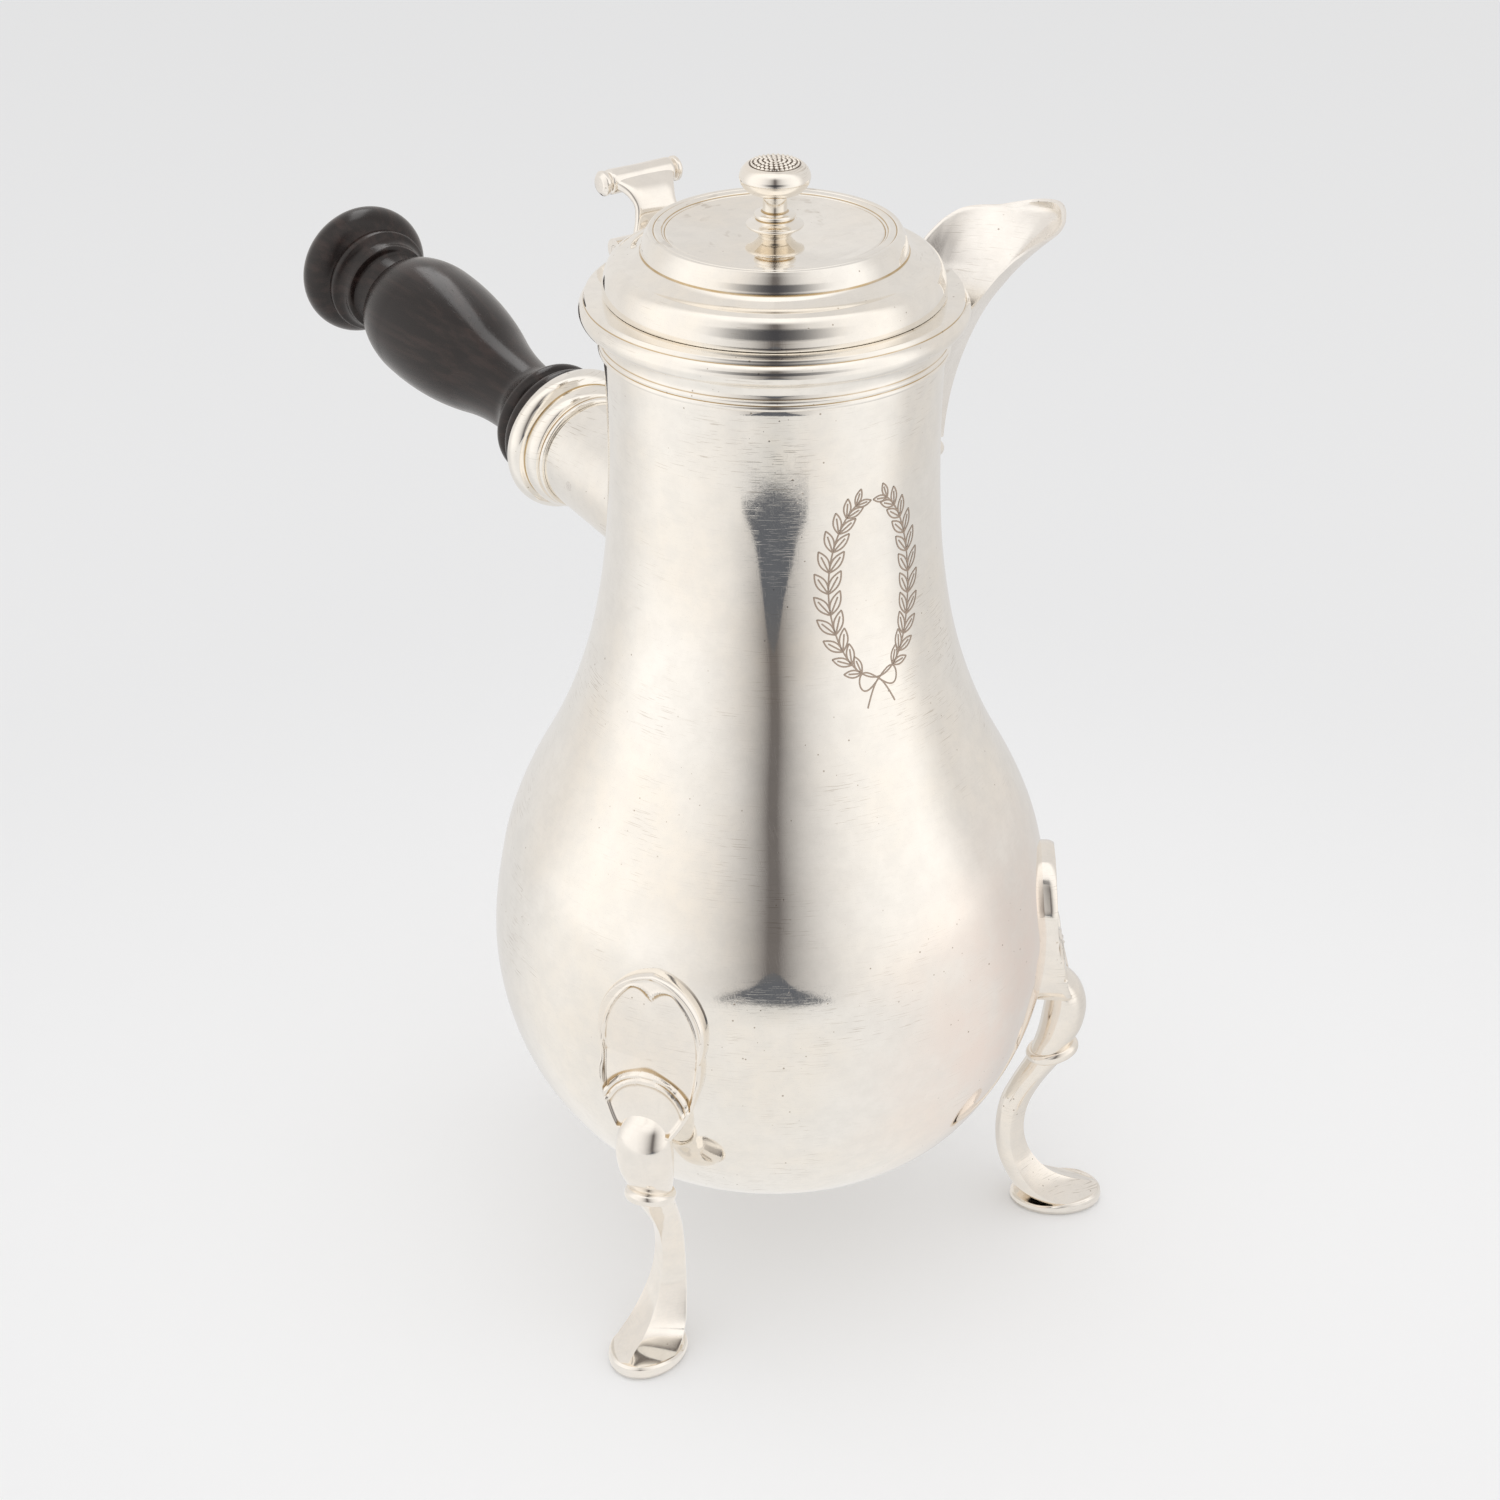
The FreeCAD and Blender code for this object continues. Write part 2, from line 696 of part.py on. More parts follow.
tenon_outer = socket_bore - S.tenon_play
collar_end = S.socket_end + S.collar_length
grip_end = collar_end + S.grip_length
knob_start = grip_end + S.knob_gap
knob_end = knob_start + S.knob_length
grip = turned("handle_grip", [
    (0, S.socket_end - S.tenon_length),
    (tenon_outer, S.socket_end - S.tenon_length),
    (tenon_outer, S.socket_end),
    (S.collar_radius - 1.5, S.socket_end, 130),
    (S.collar_radius - 1.5, S.socket_end + S.collar_length * 0.36),
    (S.collar_radius - 2.2, S.socket_end + S.collar_length * 0.36, 130),
    (S.collar_radius - 2.2, S.socket_end + S.collar_length * 0.7),
    (S.grip_neck + 3, S.socket_end + S.collar_length * 0.7),
    (S.grip_neck + 3, S.socket_end + S.collar_length * 0.78, -46),
    (S.grip_neck, collar_end + 4, -16),
    (S.grip_neck + (S.grip_radius - S.grip_neck) * 0.42, collar_end + S.grip_length * 0.36, 17),
    (S.grip_radius, collar_end + S.grip_length * 0.8, 22),
    (S.grip_radius - 2.1, grip_end - 0.5, 85),
    (S.knob_neck + 0.4, grip_end + 1.6, -40),
    (S.knob_neck + 1, knob_start - 4.6),
    (S.knob_neck + 2.8, knob_start - 4.2),
    (S.knob_neck + 2.8, knob_start - 2.4, -60),
    (S.knob_radius - 2.6, knob_start),
    (S.knob_radius - 2.6, knob_start + 1.7),
    (S.knob_radius - 3, knob_start + 2.3, 130),
    (S.knob_radius - 3.2, knob_end - 1.6, 60),
    (S.knob_radius - 6, knob_end - 0.4, 8),
    (S.wall, knob_end),
    (0, knob_end),
])
drilled(grip, "grip_pin_hole", [(0, S.cross_pin_place)], pin_bore)
along_handle(grip)

cross_pin = along_handle(new_body("handle_pin"))
round_bar(cross_pin, "handle_pin_bar", (0, S.cross_pin_place), S.cross_pin_radius, S.socket_radius * 2)

# Feet: shield plate, cast leg and pad, in a plane through the axis of the pot

knee_reach = S.belly_radius.value + S.knee_stand.value


def radial(reach, height, across=0.0):
    return Vector(reach, across, height)


def shield_strip(proud):
    """Curved strip standing proud of the belly, leaning out below it towards the knee."""
    belly = S.belly_radius.value
    level = S.belly_height.value
    top = S.shield_top.value + S.border_width.value * 2
    bottom = S.shield_bottom.value
    centre = belly - S.shoulder_curve.value
    curve = S.shoulder_curve.value + proud

    def offset_point(height):
        return radial(centre + math.sqrt(curve**2 - (height - level) ** 2), height)

    foot = radial(knee_reach + proud, bottom)
    back = radial(belly + S.wall.value / 2, bottom)
    notch = radial(back.x, level - S.wall.value * 3)
    deep = radial(belly - S.wall.value * 10, level)
    inner = radial(deep.x, top)
    edges = [
        Part.makeLine(back, foot),
        Part.makeLine(foot, offset_point(level)),
        Part.Arc(offset_point(level), offset_point((level + top) / 2), offset_point(top)).toShape(),
        Part.makeLine(offset_point(top), inner),
        Part.makeLine(inner, deep),
        Part.makeLine(deep, notch),
        Part.makeLine(notch, back),
    ]
    face = Part.Face(Part.Wire(edges))
    half_angle = math.degrees(math.asin(S.shield_width.value / 2 / belly)) + 4
    face.rotate(Vector(), Vector(0, 0, 1), -half_angle)
    return face.revolve(Vector(), Vector(0, 0, 1), 2 * half_angle)


def prism(edges):
    """The outline carried outwards through the whole foot."""
    return Part.Face(Part.Wire(edges)).extrude(Vector(S.foot_reach.value, 0, 0))


def shield_outline():
    """Oval shield: round top, full sides, drawn in to the width of the knee at the bottom."""
    half = S.shield_width.value / 2
    bottom = S.shield_bottom.value
    rise = S.shield_top.value - bottom
    foot = S.knee_width.value / 2
    start = S.belly_radius.value / 2

    def mark(across, share):
        return radial(start, bottom + rise * share, across)

    return [
        Part.makeLine(mark(foot, 0), mark(-foot, 0)),
        Part.Arc(mark(-foot, 0), mark(-half * 0.92, 0.24), mark(-half, 0.5)).toShape(),
        Part.Arc(mark(-half, 0.5), mark(-half * 0.76, 0.87), mark(0, 1)).toShape(),
        Part.Arc(mark(0, 1), mark(half * 0.76, 0.87), mark(half, 0.5)).toShape(),
        Part.Arc(mark(half, 0.5), mark(half * 0.92, 0.24), mark(foot, 0)).toShape(),
    ]


def panel_outline():
    """Sunk panel inside the border: two lobes and a cusp above, an arch below."""
    half = S.shield_width.value / 2 - S.border_width.value
    bottom = S.shield_bottom.value
    rise = S.shield_top.value - bottom - S.border_width.value
    start = S.belly_radius.value / 2

    def mark(across, share):
        return radial(start, bottom + rise * share, across)

    return [
        Part.makeLine(mark(-half * 0.96, 0.3), mark(-half, 0.5)),
        Part.Arc(mark(-half, 0.5), mark(-half * 0.84, 0.79), mark(-half * 0.46, 0.95)).toShape(),
        Part.Arc(mark(-half * 0.46, 0.95), mark(-half * 0.18, 0.95), mark(0, 0.9)).toShape(),
        Part.Arc(mark(0, 0.9), mark(half * 0.18, 0.95), mark(half * 0.46, 0.95)).toShape(),
        Part.Arc(mark(half * 0.46, 0.95), mark(half * 0.84, 0.79), mark(half, 0.5)).toShape(),
        Part.makeLine(mark(half, 0.5), mark(half * 0.96, 0.3)),
        Part.Arc(mark(half * 0.96, 0.3), mark(0, 0.42), mark(-half * 0.96, 0.3)).toShape(),
    ]


def oval(centre, along, depth, width):
    """Oval section of the leg, square to the way the leg runs."""
    across = Vector(0, 1, 0)
    out = along.cross(across).normalize() * -1
    count = 12
    points = []
    for step in range(count):
        angle = 2 * math.pi * step / count
        points.append(centre + out * (depth / 2 * math.cos(angle)) + across * (width / 2 * math.sin(angle)))
    curve = Part.BSplineCurve()
    curve.interpolate(points, PeriodicFlag=True)
    return Part.Wire([curve.toShape()])


def leg_sections():
    """Knee, C-shaped shank and spread toe as (reach, height, depth, width) down the leg."""
    knee_x, knee_z = knee_reach, S.knee_height.value
    knee_d, knee_w = S.knee_depth.value, S.knee_width.value
    collar_z = S.collar_height.value
    shank_x, shank_d, shank_w = S.shank_reach.value, S.shank_depth.value, S.shank_width.value
    toe_x = S.foot_reach.value
    pad_z, pad_l, pad_w = S.pad_height.value, S.pad_length.value, S.pad_width.value
    span = collar_z - pad_z
    bow = knee_x - shank_x
    step = toe_x - shank_x
    return [
        (knee_x - knee_d * 0.1, knee_z + knee_d * 0.64, knee_d * 0.54, knee_w * 0.8),
        (knee_x, knee_z, knee_d, knee_w),
        (knee_x - knee_d * 0.12, collar_z + span * 0.052, knee_d * 0.86, knee_w * 0.82),
        (knee_x - bow * 14 / 51, collar_z - span * 0.07, shank_d * 1.2, shank_w * 1.12),
        (shank_x + bow * 23 / 51, collar_z - span * 0.19, shank_d * 0.95, shank_w),
        (shank_x + bow * 8 / 51, collar_z - span * 0.345, shank_d * 0.9, shank_w * 0.97),
        (shank_x, collar_z - span * 0.535, shank_d, shank_w),
        (shank_x + step * 5 / 57, collar_z - span * 0.705, shank_d * 1.07, shank_w * 1.22),
        (shank_x + step * 20 / 57, pad_z + span * 0.145, shank_d * 1.02, pad_w * 0.55),
        (toe_x - pad_l * 0.1, pad_z + span * 0.05, shank_d * 0.8, pad_w * 0.72),
        (toe_x + pad_l / 7, pad_z + span * 0.012, shank_d * 0.5, pad_w * 0.86),
        (toe_x + pad_l * 0.4, pad_z + span * 0.006, shank_d * 0.34, pad_w * 0.66),
    ]


def leg_loft(sections):
    """Smooth skin through the oval sections, each square to the line of centres."""
    centres = [radial(part[0], part[1]) for part in sections]
    wires = []
    for index, part in enumerate(sections):
        before = centres[max(index - 1, 0)]
        after = centres[min(index + 1, len(centres) - 1)]
        wires.append(oval(centres[index], (after - before).normalize(), part[2], part[3]))
    return Part.makeLoft(wires, True)


def collar_bead():
    """Rounded bead round the leg just below the knee."""
    reach, level, depth, width = leg_sections()[2]
    along = Vector(-0.45, 0, -0.9).normalize()
    stations = ((-7 / 43, 0.96), (-3 / 43, 1.12), (3 / 43, 1.12), (7 / 43, 0.96))
    centre = radial(reach, level)
    wires = [oval(centre + along * at * depth, along, depth * grow, width * grow) for at, grow in stations]
    return Part.makeLoft(wires, True)


def foot_pad():
    """Oval sole with a rounded upper edge."""
    centre = radial(S.foot_reach.value, 0)
    ellipse = Part.Ellipse(centre, S.pad_length.value / 2, S.pad_width.value / 2)
    pad = Part.Face(Part.Wire([ellipse.toShape()])).extrude(Vector(0, 0, S.pad_height.value))
    upper = [edge for edge in pad.Edges if edge.BoundBox.ZMin > S.pad_height.value - 0.01]
    return pad.makeFillet(S.pad_height.value * 0.4, upper)


room = pot_room.Shape
shield_shape = shield_strip(S.shield_border.value).common(prism(shield_outline()))
panel_room = shield_strip(S.shield_border.value * 2).common(prism(panel_outline()))
panel_room = panel_room.cut(shield_strip(S.shield_panel.value))
shield_shape = shield_shape.cut(panel_room).cut(room)
pad_shape = foot_pad()
floor_side = S.foot_reach.value * 2
floor_corner = Vector(0, -floor_side / 2, -floor_side)
floor_room = Part.makeBox(floor_side, floor_side, floor_side + S.pad_height.value, floor_corner)
leg_shape = leg_loft(leg_sections()).fuse(collar_bead()).cut(shield_shape).cut(floor_room).cut(room)

feet = []
for place, azimuth in (
    ("back", 90),
    ("left", -90 - S.left_foot_turn.value),
    ("right", -90 + S.right_foot_turn.value),
):
    turn = Placement(Vector(), Rotation(Vector(0, 0, 1), azimuth))
    for kind, shape in (
        ("shield", shield_shape),
        ("leg", leg_shape),
        ("pad", pad_shape),
    ):
        piece = made(f"foot_{kind}_{place}", max(shape.Solids, key=lambda solid: solid.Volume))
        piece.Placement = turn
        feet.append(piece)

doc.recompute()

pieces = [
    pot, rim, cover, bezel, finial, nut, bracket, pin, strap, thumbpiece,
    spout, drop, socket, ring, grip, cross_pin,
] + feet

for item in doc.Objects:
    if "Invalid" in item.State or "Error" in item.State:
        raise RuntimeError(f"{item.Label} failed: {item.State}")
for piece in pieces:
    if piece.Shape.isNull() or not piece.Shape.isValid():
        raise RuntimeError(f"{piece.Label} has no valid shape")

os.makedirs("parts", exist_ok=True)
for piece in pieces:
    solids = len(piece.Shape.Solids)
    box = piece.Shape.BoundBox
    print(f"{piece.Label}: {solids} solid, {piece.Shape.Volume:.0f} mm3, z {box.ZMin:.1f} to {box.ZMax:.1f}")
    piece.Shape.exportStep(f"parts/{piece.Label}.step")
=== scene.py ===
# %% [markdown]
# A pear-shaped silver coffee pot on three cast feet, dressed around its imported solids.
# The solids say where everything is. Polished metal shows every facet, so each visible
# silver piece is made again here as a fine, smooth surface of the same size and place.

# %% Load the frame
import math

import bmesh
import bpy
import numpy as np
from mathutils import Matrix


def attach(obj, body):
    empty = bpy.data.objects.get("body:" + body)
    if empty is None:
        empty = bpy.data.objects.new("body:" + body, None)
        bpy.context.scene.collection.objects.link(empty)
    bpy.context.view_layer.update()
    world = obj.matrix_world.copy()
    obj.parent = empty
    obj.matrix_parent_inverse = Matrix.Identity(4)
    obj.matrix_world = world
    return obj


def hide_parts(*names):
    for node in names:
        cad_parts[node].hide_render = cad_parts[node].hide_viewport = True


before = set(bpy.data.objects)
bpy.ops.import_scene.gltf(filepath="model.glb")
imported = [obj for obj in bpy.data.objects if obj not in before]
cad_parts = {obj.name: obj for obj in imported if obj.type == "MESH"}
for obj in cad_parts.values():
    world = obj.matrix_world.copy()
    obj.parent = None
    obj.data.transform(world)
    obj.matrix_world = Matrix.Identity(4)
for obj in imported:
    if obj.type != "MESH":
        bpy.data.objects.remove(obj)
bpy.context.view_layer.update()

# %% [markdown]
# Sizes are in millimetres, as on a workshop drawing, and become metres when a mesh is made.
# An outline is a list of corners. A third number at a corner is the turn, in degrees, of the
# arc that runs on to the next corner, so few numbers give a whole moulding.

# %% Outlines and their worn edges
MM = 0.001


def run_along(path, step):
    """Points along corners: straight runs, and arcs of the given turn, bending left if positive.

    On an arc of turn b over a chord c the radius is c / (2 sin(b/2)), and a point at angle a
    from the middle lies radius * (sin a) along the chord and radius * (cos(b/2) - cos a) aside.
    """
    runs = []
    for here, there in zip(path, path[1:]):
        first, last = np.array(here[:2], float), np.array(there[:2], float)
        chord = np.linalg.norm(last - first)
        bend = math.radians(here[2]) if len(here) > 2 else 0.0
        length = chord * (abs(bend / 2 / math.sin(bend / 2)) if bend else 1.0)
        share = np.arange(max(int(np.ceil(length / step)), 1))
        share = (share / len(share))[:, None]
        if bend:
            ahead = (last - first) / chord
            aside = np.array([-ahead[1], ahead[0]])
            radius = chord / 2 / math.sin(bend / 2)
            angle = bend * (share - 0.5)
            along = radius * (np.sin(angle) + math.sin(bend / 2))
            off = radius * (math.cos(bend / 2) - np.cos(angle))
            runs.append(first + along * ahead + off * aside)
        else:
            runs.append(first + share * (last - first))
    runs.append(np.array([path[-1][:2]], float))
    return np.concatenate(runs)


def evenly(points, step):
    """The same line with its points a step apart, measured along it."""
    gaps = np.linalg.norm(np.diff(points, axis=0), axis=1)
    points = points[np.concatenate([[True], gaps > 1e-9])]
    along = np.concatenate([[0], np.cumsum(np.linalg.norm(np.diff(points, axis=0), axis=1))])
    marks = np.linspace(0, along[-1], max(int(round(along[-1] / step)), 3) + 1)
    return np.stack([np.interp(marks, along, column) for column in points.T], axis=1)


def worn(path, step, wear, closed=False):
    """An outline with corners rubbed round: each point becomes a bell-weighted mean of its
    neighbours, reaching about `wear` millimetres along the line."""
    line = evenly(run_along(path + path[:1] if closed else path, step / 2), step)
    if closed:
        line = line[:-1]
    reach = max(int(np.ceil(2 * wear / step)), 1)
    offsets = np.arange(-reach, reach + 1)
    weights = np.exp(-0.5 * (offsets * step / wear) ** 2)
    weights /= weights.sum()
    how = {"mode": "wrap"} if closed else {"mode": "reflect", "reflect_type": "odd"}
    padded = np.pad(line, ((reach, reach), (0, 0)), **how)
    return np.stack([np.convolve(column, weights, "valid") for column in padded.T], axis=1)


print("a worn corner:", len(worn([(0, 0), (5, 0), (5, 5)], 0.5, 0.5)), "points")

# %% [markdown]
# Every surface is a grid of points: one parameter runs along the outline and the other around
# the axis or along a path.

# %% Grids


def cells(points, wrap_rows=False, wrap_columns=False):
    """Corner points and four-sided faces of a grid, joined to itself where it wraps."""
    rows, columns = points.shape[:2]
    index = np.arange(rows * columns).reshape(rows, columns)
    index = np.concatenate([index, index[:1]]) if wrap_rows else index
    index = np.concatenate([index, index[:, :1]], axis=1) if wrap_columns else index
    corners = [index[:-1, :-1], index[:-1, 1:], index[1:, 1:], index[1:, :-1]]
    return points.reshape(-1, 3), np.stack(corners, axis=-1).reshape(-1, 4)


def full_turn(count):
    """Angles of a whole turn, without the last one, which is the first again."""
    return np.linspace(0, 2 * np.pi, count, endpoint=False)


def about_z(radius, angle, height):
    """Points round Z: (r cos a, r sin a, z)."""
    x, y = radius * np.cos(angle), radius * np.sin(angle)
    return np.stack(np.broadcast_arrays(x, y, height), axis=-1)


def spun(outline, count=192, closed=False):
    """A line of (radius, height) carried round Z."""
    grid = about_z(outline[:, :1], full_turn(count), outline[:, 1:])
    return cells(grid, wrap_rows=closed, wrap_columns=True)


def turned(outline, step, wear, count, closed=False):
    """A worn outline carried round Z."""
    return spun(worn(outline, step, wear, closed), count, closed)


def capped(grid):
    """A grid of closed rows whose first and last row are drawn together to their means."""
    ends = np.repeat(grid[[0, -1]].mean(axis=1, keepdims=True), grid.shape[1], axis=1)
    return np.concatenate([ends[:1], grid, ends[1:]])


def turned_round(points, angle):
    """Points turned about Z."""
    x, y = points[..., 0], points[..., 1]
    cos, sin = math.cos(angle), math.sin(angle)
    return np.stack([x * cos - y * sin, x * sin + y * cos, points[..., 2]], axis=-1)


def along_x(points, y, z):
    """Points about Z laid down along X at a point of the YZ plane."""
    return np.stack([points[:, 2], points[:, 0] + y, points[:, 1] + z], axis=1)


def moved(grid, how):
    """A grid with its points carried elsewhere."""
    points, faces = grid
    return how(points), faces


print("a ring of eight:", len(spun(np.array([(5, 0), (5, 1)]), 8)[1]), "faces")

# %% [markdown]
# A grid becomes a mesh in one go, and its seams and poles are merged. Each point notes how far
# it lies below its surroundings, so that a finish can darken hollows.

# %% From grids to pieces
MERGE, SLIVER = 2e-6, 1e-7
CREASE = math.radians(38)


def new_object(name, data):
    """A new object in the scene."""
    item = bpy.data.objects.new(name, data)
    bpy.context.scene.collection.objects.link(item)
    return item


def mesh_of(name, grids):
    """One mesh from several grids, in metres, with doubled points merged and faces outwards."""
    starts = np.cumsum([0] + [len(points) for points, _ in grids])
    points = np.concatenate([points for points, _ in grids]) * MM
    faces = np.concatenate([quads + start for (_, quads), start in zip(grids, starts)])
    mesh = bpy.data.meshes.new(name)
    mesh.from_pydata(points.tolist(), [], faces.tolist())
    work = bmesh.new()
    work.from_mesh(mesh)
    bmesh.ops.remove_doubles(work, verts=work.verts, dist=MERGE)
    bmesh.ops.dissolve_degenerate(work, edges=work.edges, dist=SLIVER)
    bmesh.ops.recalc_face_normals(work, faces=work.faces)
    work.to_mesh(mesh)
    work.free()
    return mesh


def read_out(items, key, width, kind):
    """A property of all items of a mesh as one array with `width` columns."""
    values = np.empty(len(items) * width, kind)
    items.foreach_get(key, values)
    return values.reshape(-1, width)


def note_hollows(mesh, rounds):
    """Stores how deep each point lies, in millimetres, under the average of its neighbours
    taken `rounds` times over: positive in grooves, negative on edges."""
    place = read_out(mesh.vertices, "co", 3, np.float32)
    facing = read_out(mesh.vertex_normals, "vector", 3, np.float32)
    ends = read_out(mesh.edges, "vertices", 2, np.int32)
    one, two = np.concatenate([ends, ends[:, ::-1]]).T
    count = len(place)
    share = np.maximum(np.bincount(one, minlength=count), 1)
    smooth = place.astype(float)
    for _ in range(rounds):
        totals = [np.bincount(one, column[two], count) for column in smooth.T]
        smooth = np.stack(totals / share, axis=1)
    depth = ((smooth - place) * facing).sum(axis=1) / MM
    layer = mesh.attributes.new("hollow", "FLOAT", "POINT")
    layer.data.foreach_set("value", depth.astype(np.float32))


def add_piece(name, finish, grids, nodes=(), body="pot", rounds=5):
    """Makes the piece, rides it on its body and lets it stand for its nodes."""
    mesh = grids if isinstance(grids, bpy.types.Mesh) else mesh_of(name, grids)
    mesh.shade_smooth()
    mesh.set_sharp_from_angle(angle=CREASE)
    note_hollows(mesh, rounds)
    mesh.materials.append(finish)
    piece = new_object(name, mesh)
    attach(piece, body)
    if nodes:
        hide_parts(*nodes)
    print(f"{name}: {len(mesh.polygons)} faces")
    return piece


# %% [markdown]
# A material is a web of nodes. A Wire is the output of one node, and sums written with wires
# add the nodes that work them out, so a finish can be read like a formula.

# %% Node helpers


class Wire:
    """The output of a shader node. Arithmetic on it adds Math nodes to the same tree."""

    def __init__(self, socket):
        self.socket, self.tree = socket, socket.id_data

    def math(self, operation, *others):
        return added(self.tree, "ShaderNodeMath", (self, *others), operation=operation)

    def __add__(self, other):
        return self.math("ADD", other)

    def __sub__(self, other):
        return self.math("SUBTRACT", other)

    def __mul__(self, other):
        return self.math("MULTIPLY", other)

    def __truediv__(self, other):
        return self.math("DIVIDE", other)

    def spread(self, low, high, start=0.0, end=1.0):
        """The range from low to high stretched smoothly to start to end."""
        feeds = (self, low, high, start, end)
        return added(self.tree, "ShaderNodeMapRange", feeds, interpolation_type="SMOOTHSTEP")

    def bell(self, width):
        """A bell about zero: exp(-(value / width) squared)."""
        share = self / width
        return (share * share * -1).math("EXPONENT")

    def measure(self, operation, *others):
        """One number from a place or direction, such as its length."""
        feeds = (self, *others)
        return added(self.tree, "ShaderNodeVectorMath", feeds, "Value", operation=operation)

    def along(self, way):
        """How far a place or direction reaches along another direction."""
        return self.measure("DOT_PRODUCT", (*way, 0)[:3])


def feed(socket, value):
    """Links a wire to a socket or sets a plain value on it; three numbers make a colour."""
    if isinstance(value, Wire):
        socket.id_data.links.new(value.socket, socket)
    elif socket.type == "RGBA":
        socket.default_value = (*value, 1)
    else:
        socket.default_value = value


def added(tree, kind, feeds=(), output=0, **settings):
    """A new node with its settings, fed by order or by name, as the wire of one output."""
    node = tree.nodes.new(kind)
    for key, value in settings.items():
        setattr(node, key, value)
    for key, value in feeds.items() if isinstance(feeds, dict) else enumerate(feeds):
        feed(node.inputs[key], value)
    return Wire(node.outputs[output])


# %% [markdown]
# With wires the usual steps of a finish are short: to mix colours, to place noise on a piece,
# and to set up a shader.

# %% Colours, noise and shaders


def blended(amount, first, second):
    """Two colours mixed by an amount; a colour is a wire or three numbers."""
    feeds = {0: amount, 6: first, 7: second}
    return added(amount.tree, "ShaderNodeMix", feeds, 2, data_type="RGBA")


def placed(tree, scale=(1, 1, 1), turn=(0, 0, 0), shift=(0, 0, 0)):
    """Object coordinates, shifted, turned and stretched."""
    where = added(tree, "ShaderNodeTexCoord", output="Object")
    return added(tree, "ShaderNodeMapping", (where, shift, turn, scale))


def noise(where, scale, detail=4, rough=0.55):
    """Cloudy noise between 0 and 1."""
    feeds = {"Vector": where, "Scale": scale, "Detail": detail, "Roughness": rough}
    return added(where.tree, "ShaderNodeTexNoise", feeds)


def pits(where, scale, size, cover):
    """Round spots of mixed size at scattered cell centres, kept where a slow noise is high."""
    feeds = {"Vector": where, "Scale": scale}
    distance = added(where.tree, "ShaderNodeTexVoronoi", feeds, "Distance")
    grain = Wire(distance.socket.node.outputs["Color"]) * 0.9 + 0.35
    spot = (distance / grain).spread(size, size * 0.35)
    return spot * noise(where, 45, 2).spread(cover, cover + 0.08)


def new_finish(name, **values):
    """A material, its tree and its shader, with values set on the shader's sockets."""
    finish = bpy.data.materials.new(name)
    finish.use_nodes = True
    shader = finish.node_tree.nodes["Principled BSDF"]
    for key, value in values.items():
        feed(shader.inputs[key.replace("_", " ")], value)
    return finish, finish.node_tree, shader


def surfaced(shader, colour, rough, height, strength, depth):
    """Gives a shader its colour, its roughness and a bump of some strength and depth."""
    feeds = {"Height": height, "Strength": strength, "Distance": depth}
    feed(shader.inputs["Base Color"], colour)
    feed(shader.inputs["Roughness"], rough)
    feed(shader.inputs["Normal"], added(height.tree, "ShaderNodeBump", feeds))


# %% [markdown]
# Old silver is never one colour. It is bright where it is rubbed, faintly yellow where polish
# stays away, brown-gold in grooves, and covered with hairline scratches and small pits.
# The finish mixes these from noise on Object coordinates and from the noted hollows.

# %% The silver finish
# strokes: stretch along each axis, turn, and the noise at which a scratch starts
STROKES = [
    ((190, 190, 5600), (0, 0, 0), 0.60), ((5200, 210, 210), (0.3, 0.1, 0.4), 0.64),
    ((5200, 210, 210), (-0.5, 0.9, 1.3), 0.64), ((5200, 180, 180), (0.2, -1.0, 2.2), 0.65),
]
STROKE_EDGE = 0.08
YELLOWED, DULLED, ROSY = (1.0, 0.968, 0.925), (0.885, 0.885, 0.885), (1.0, 0.9, 0.87)
HAIRLINE, PIT = (0.52, 0.46, 0.39), (0.30, 0.235, 0.17)
BLUSH_AT, BLUSH_CORE, BLUSH_END = (0.026, -0.052, 0.070), 0.008, 0.055
SILVER_BUMP, SILVER_BUMP_DEPTH = 0.07, 0.000015


def tinted(colour, factors):
    return tuple(part * factor for part, factor in zip(colour, factors))


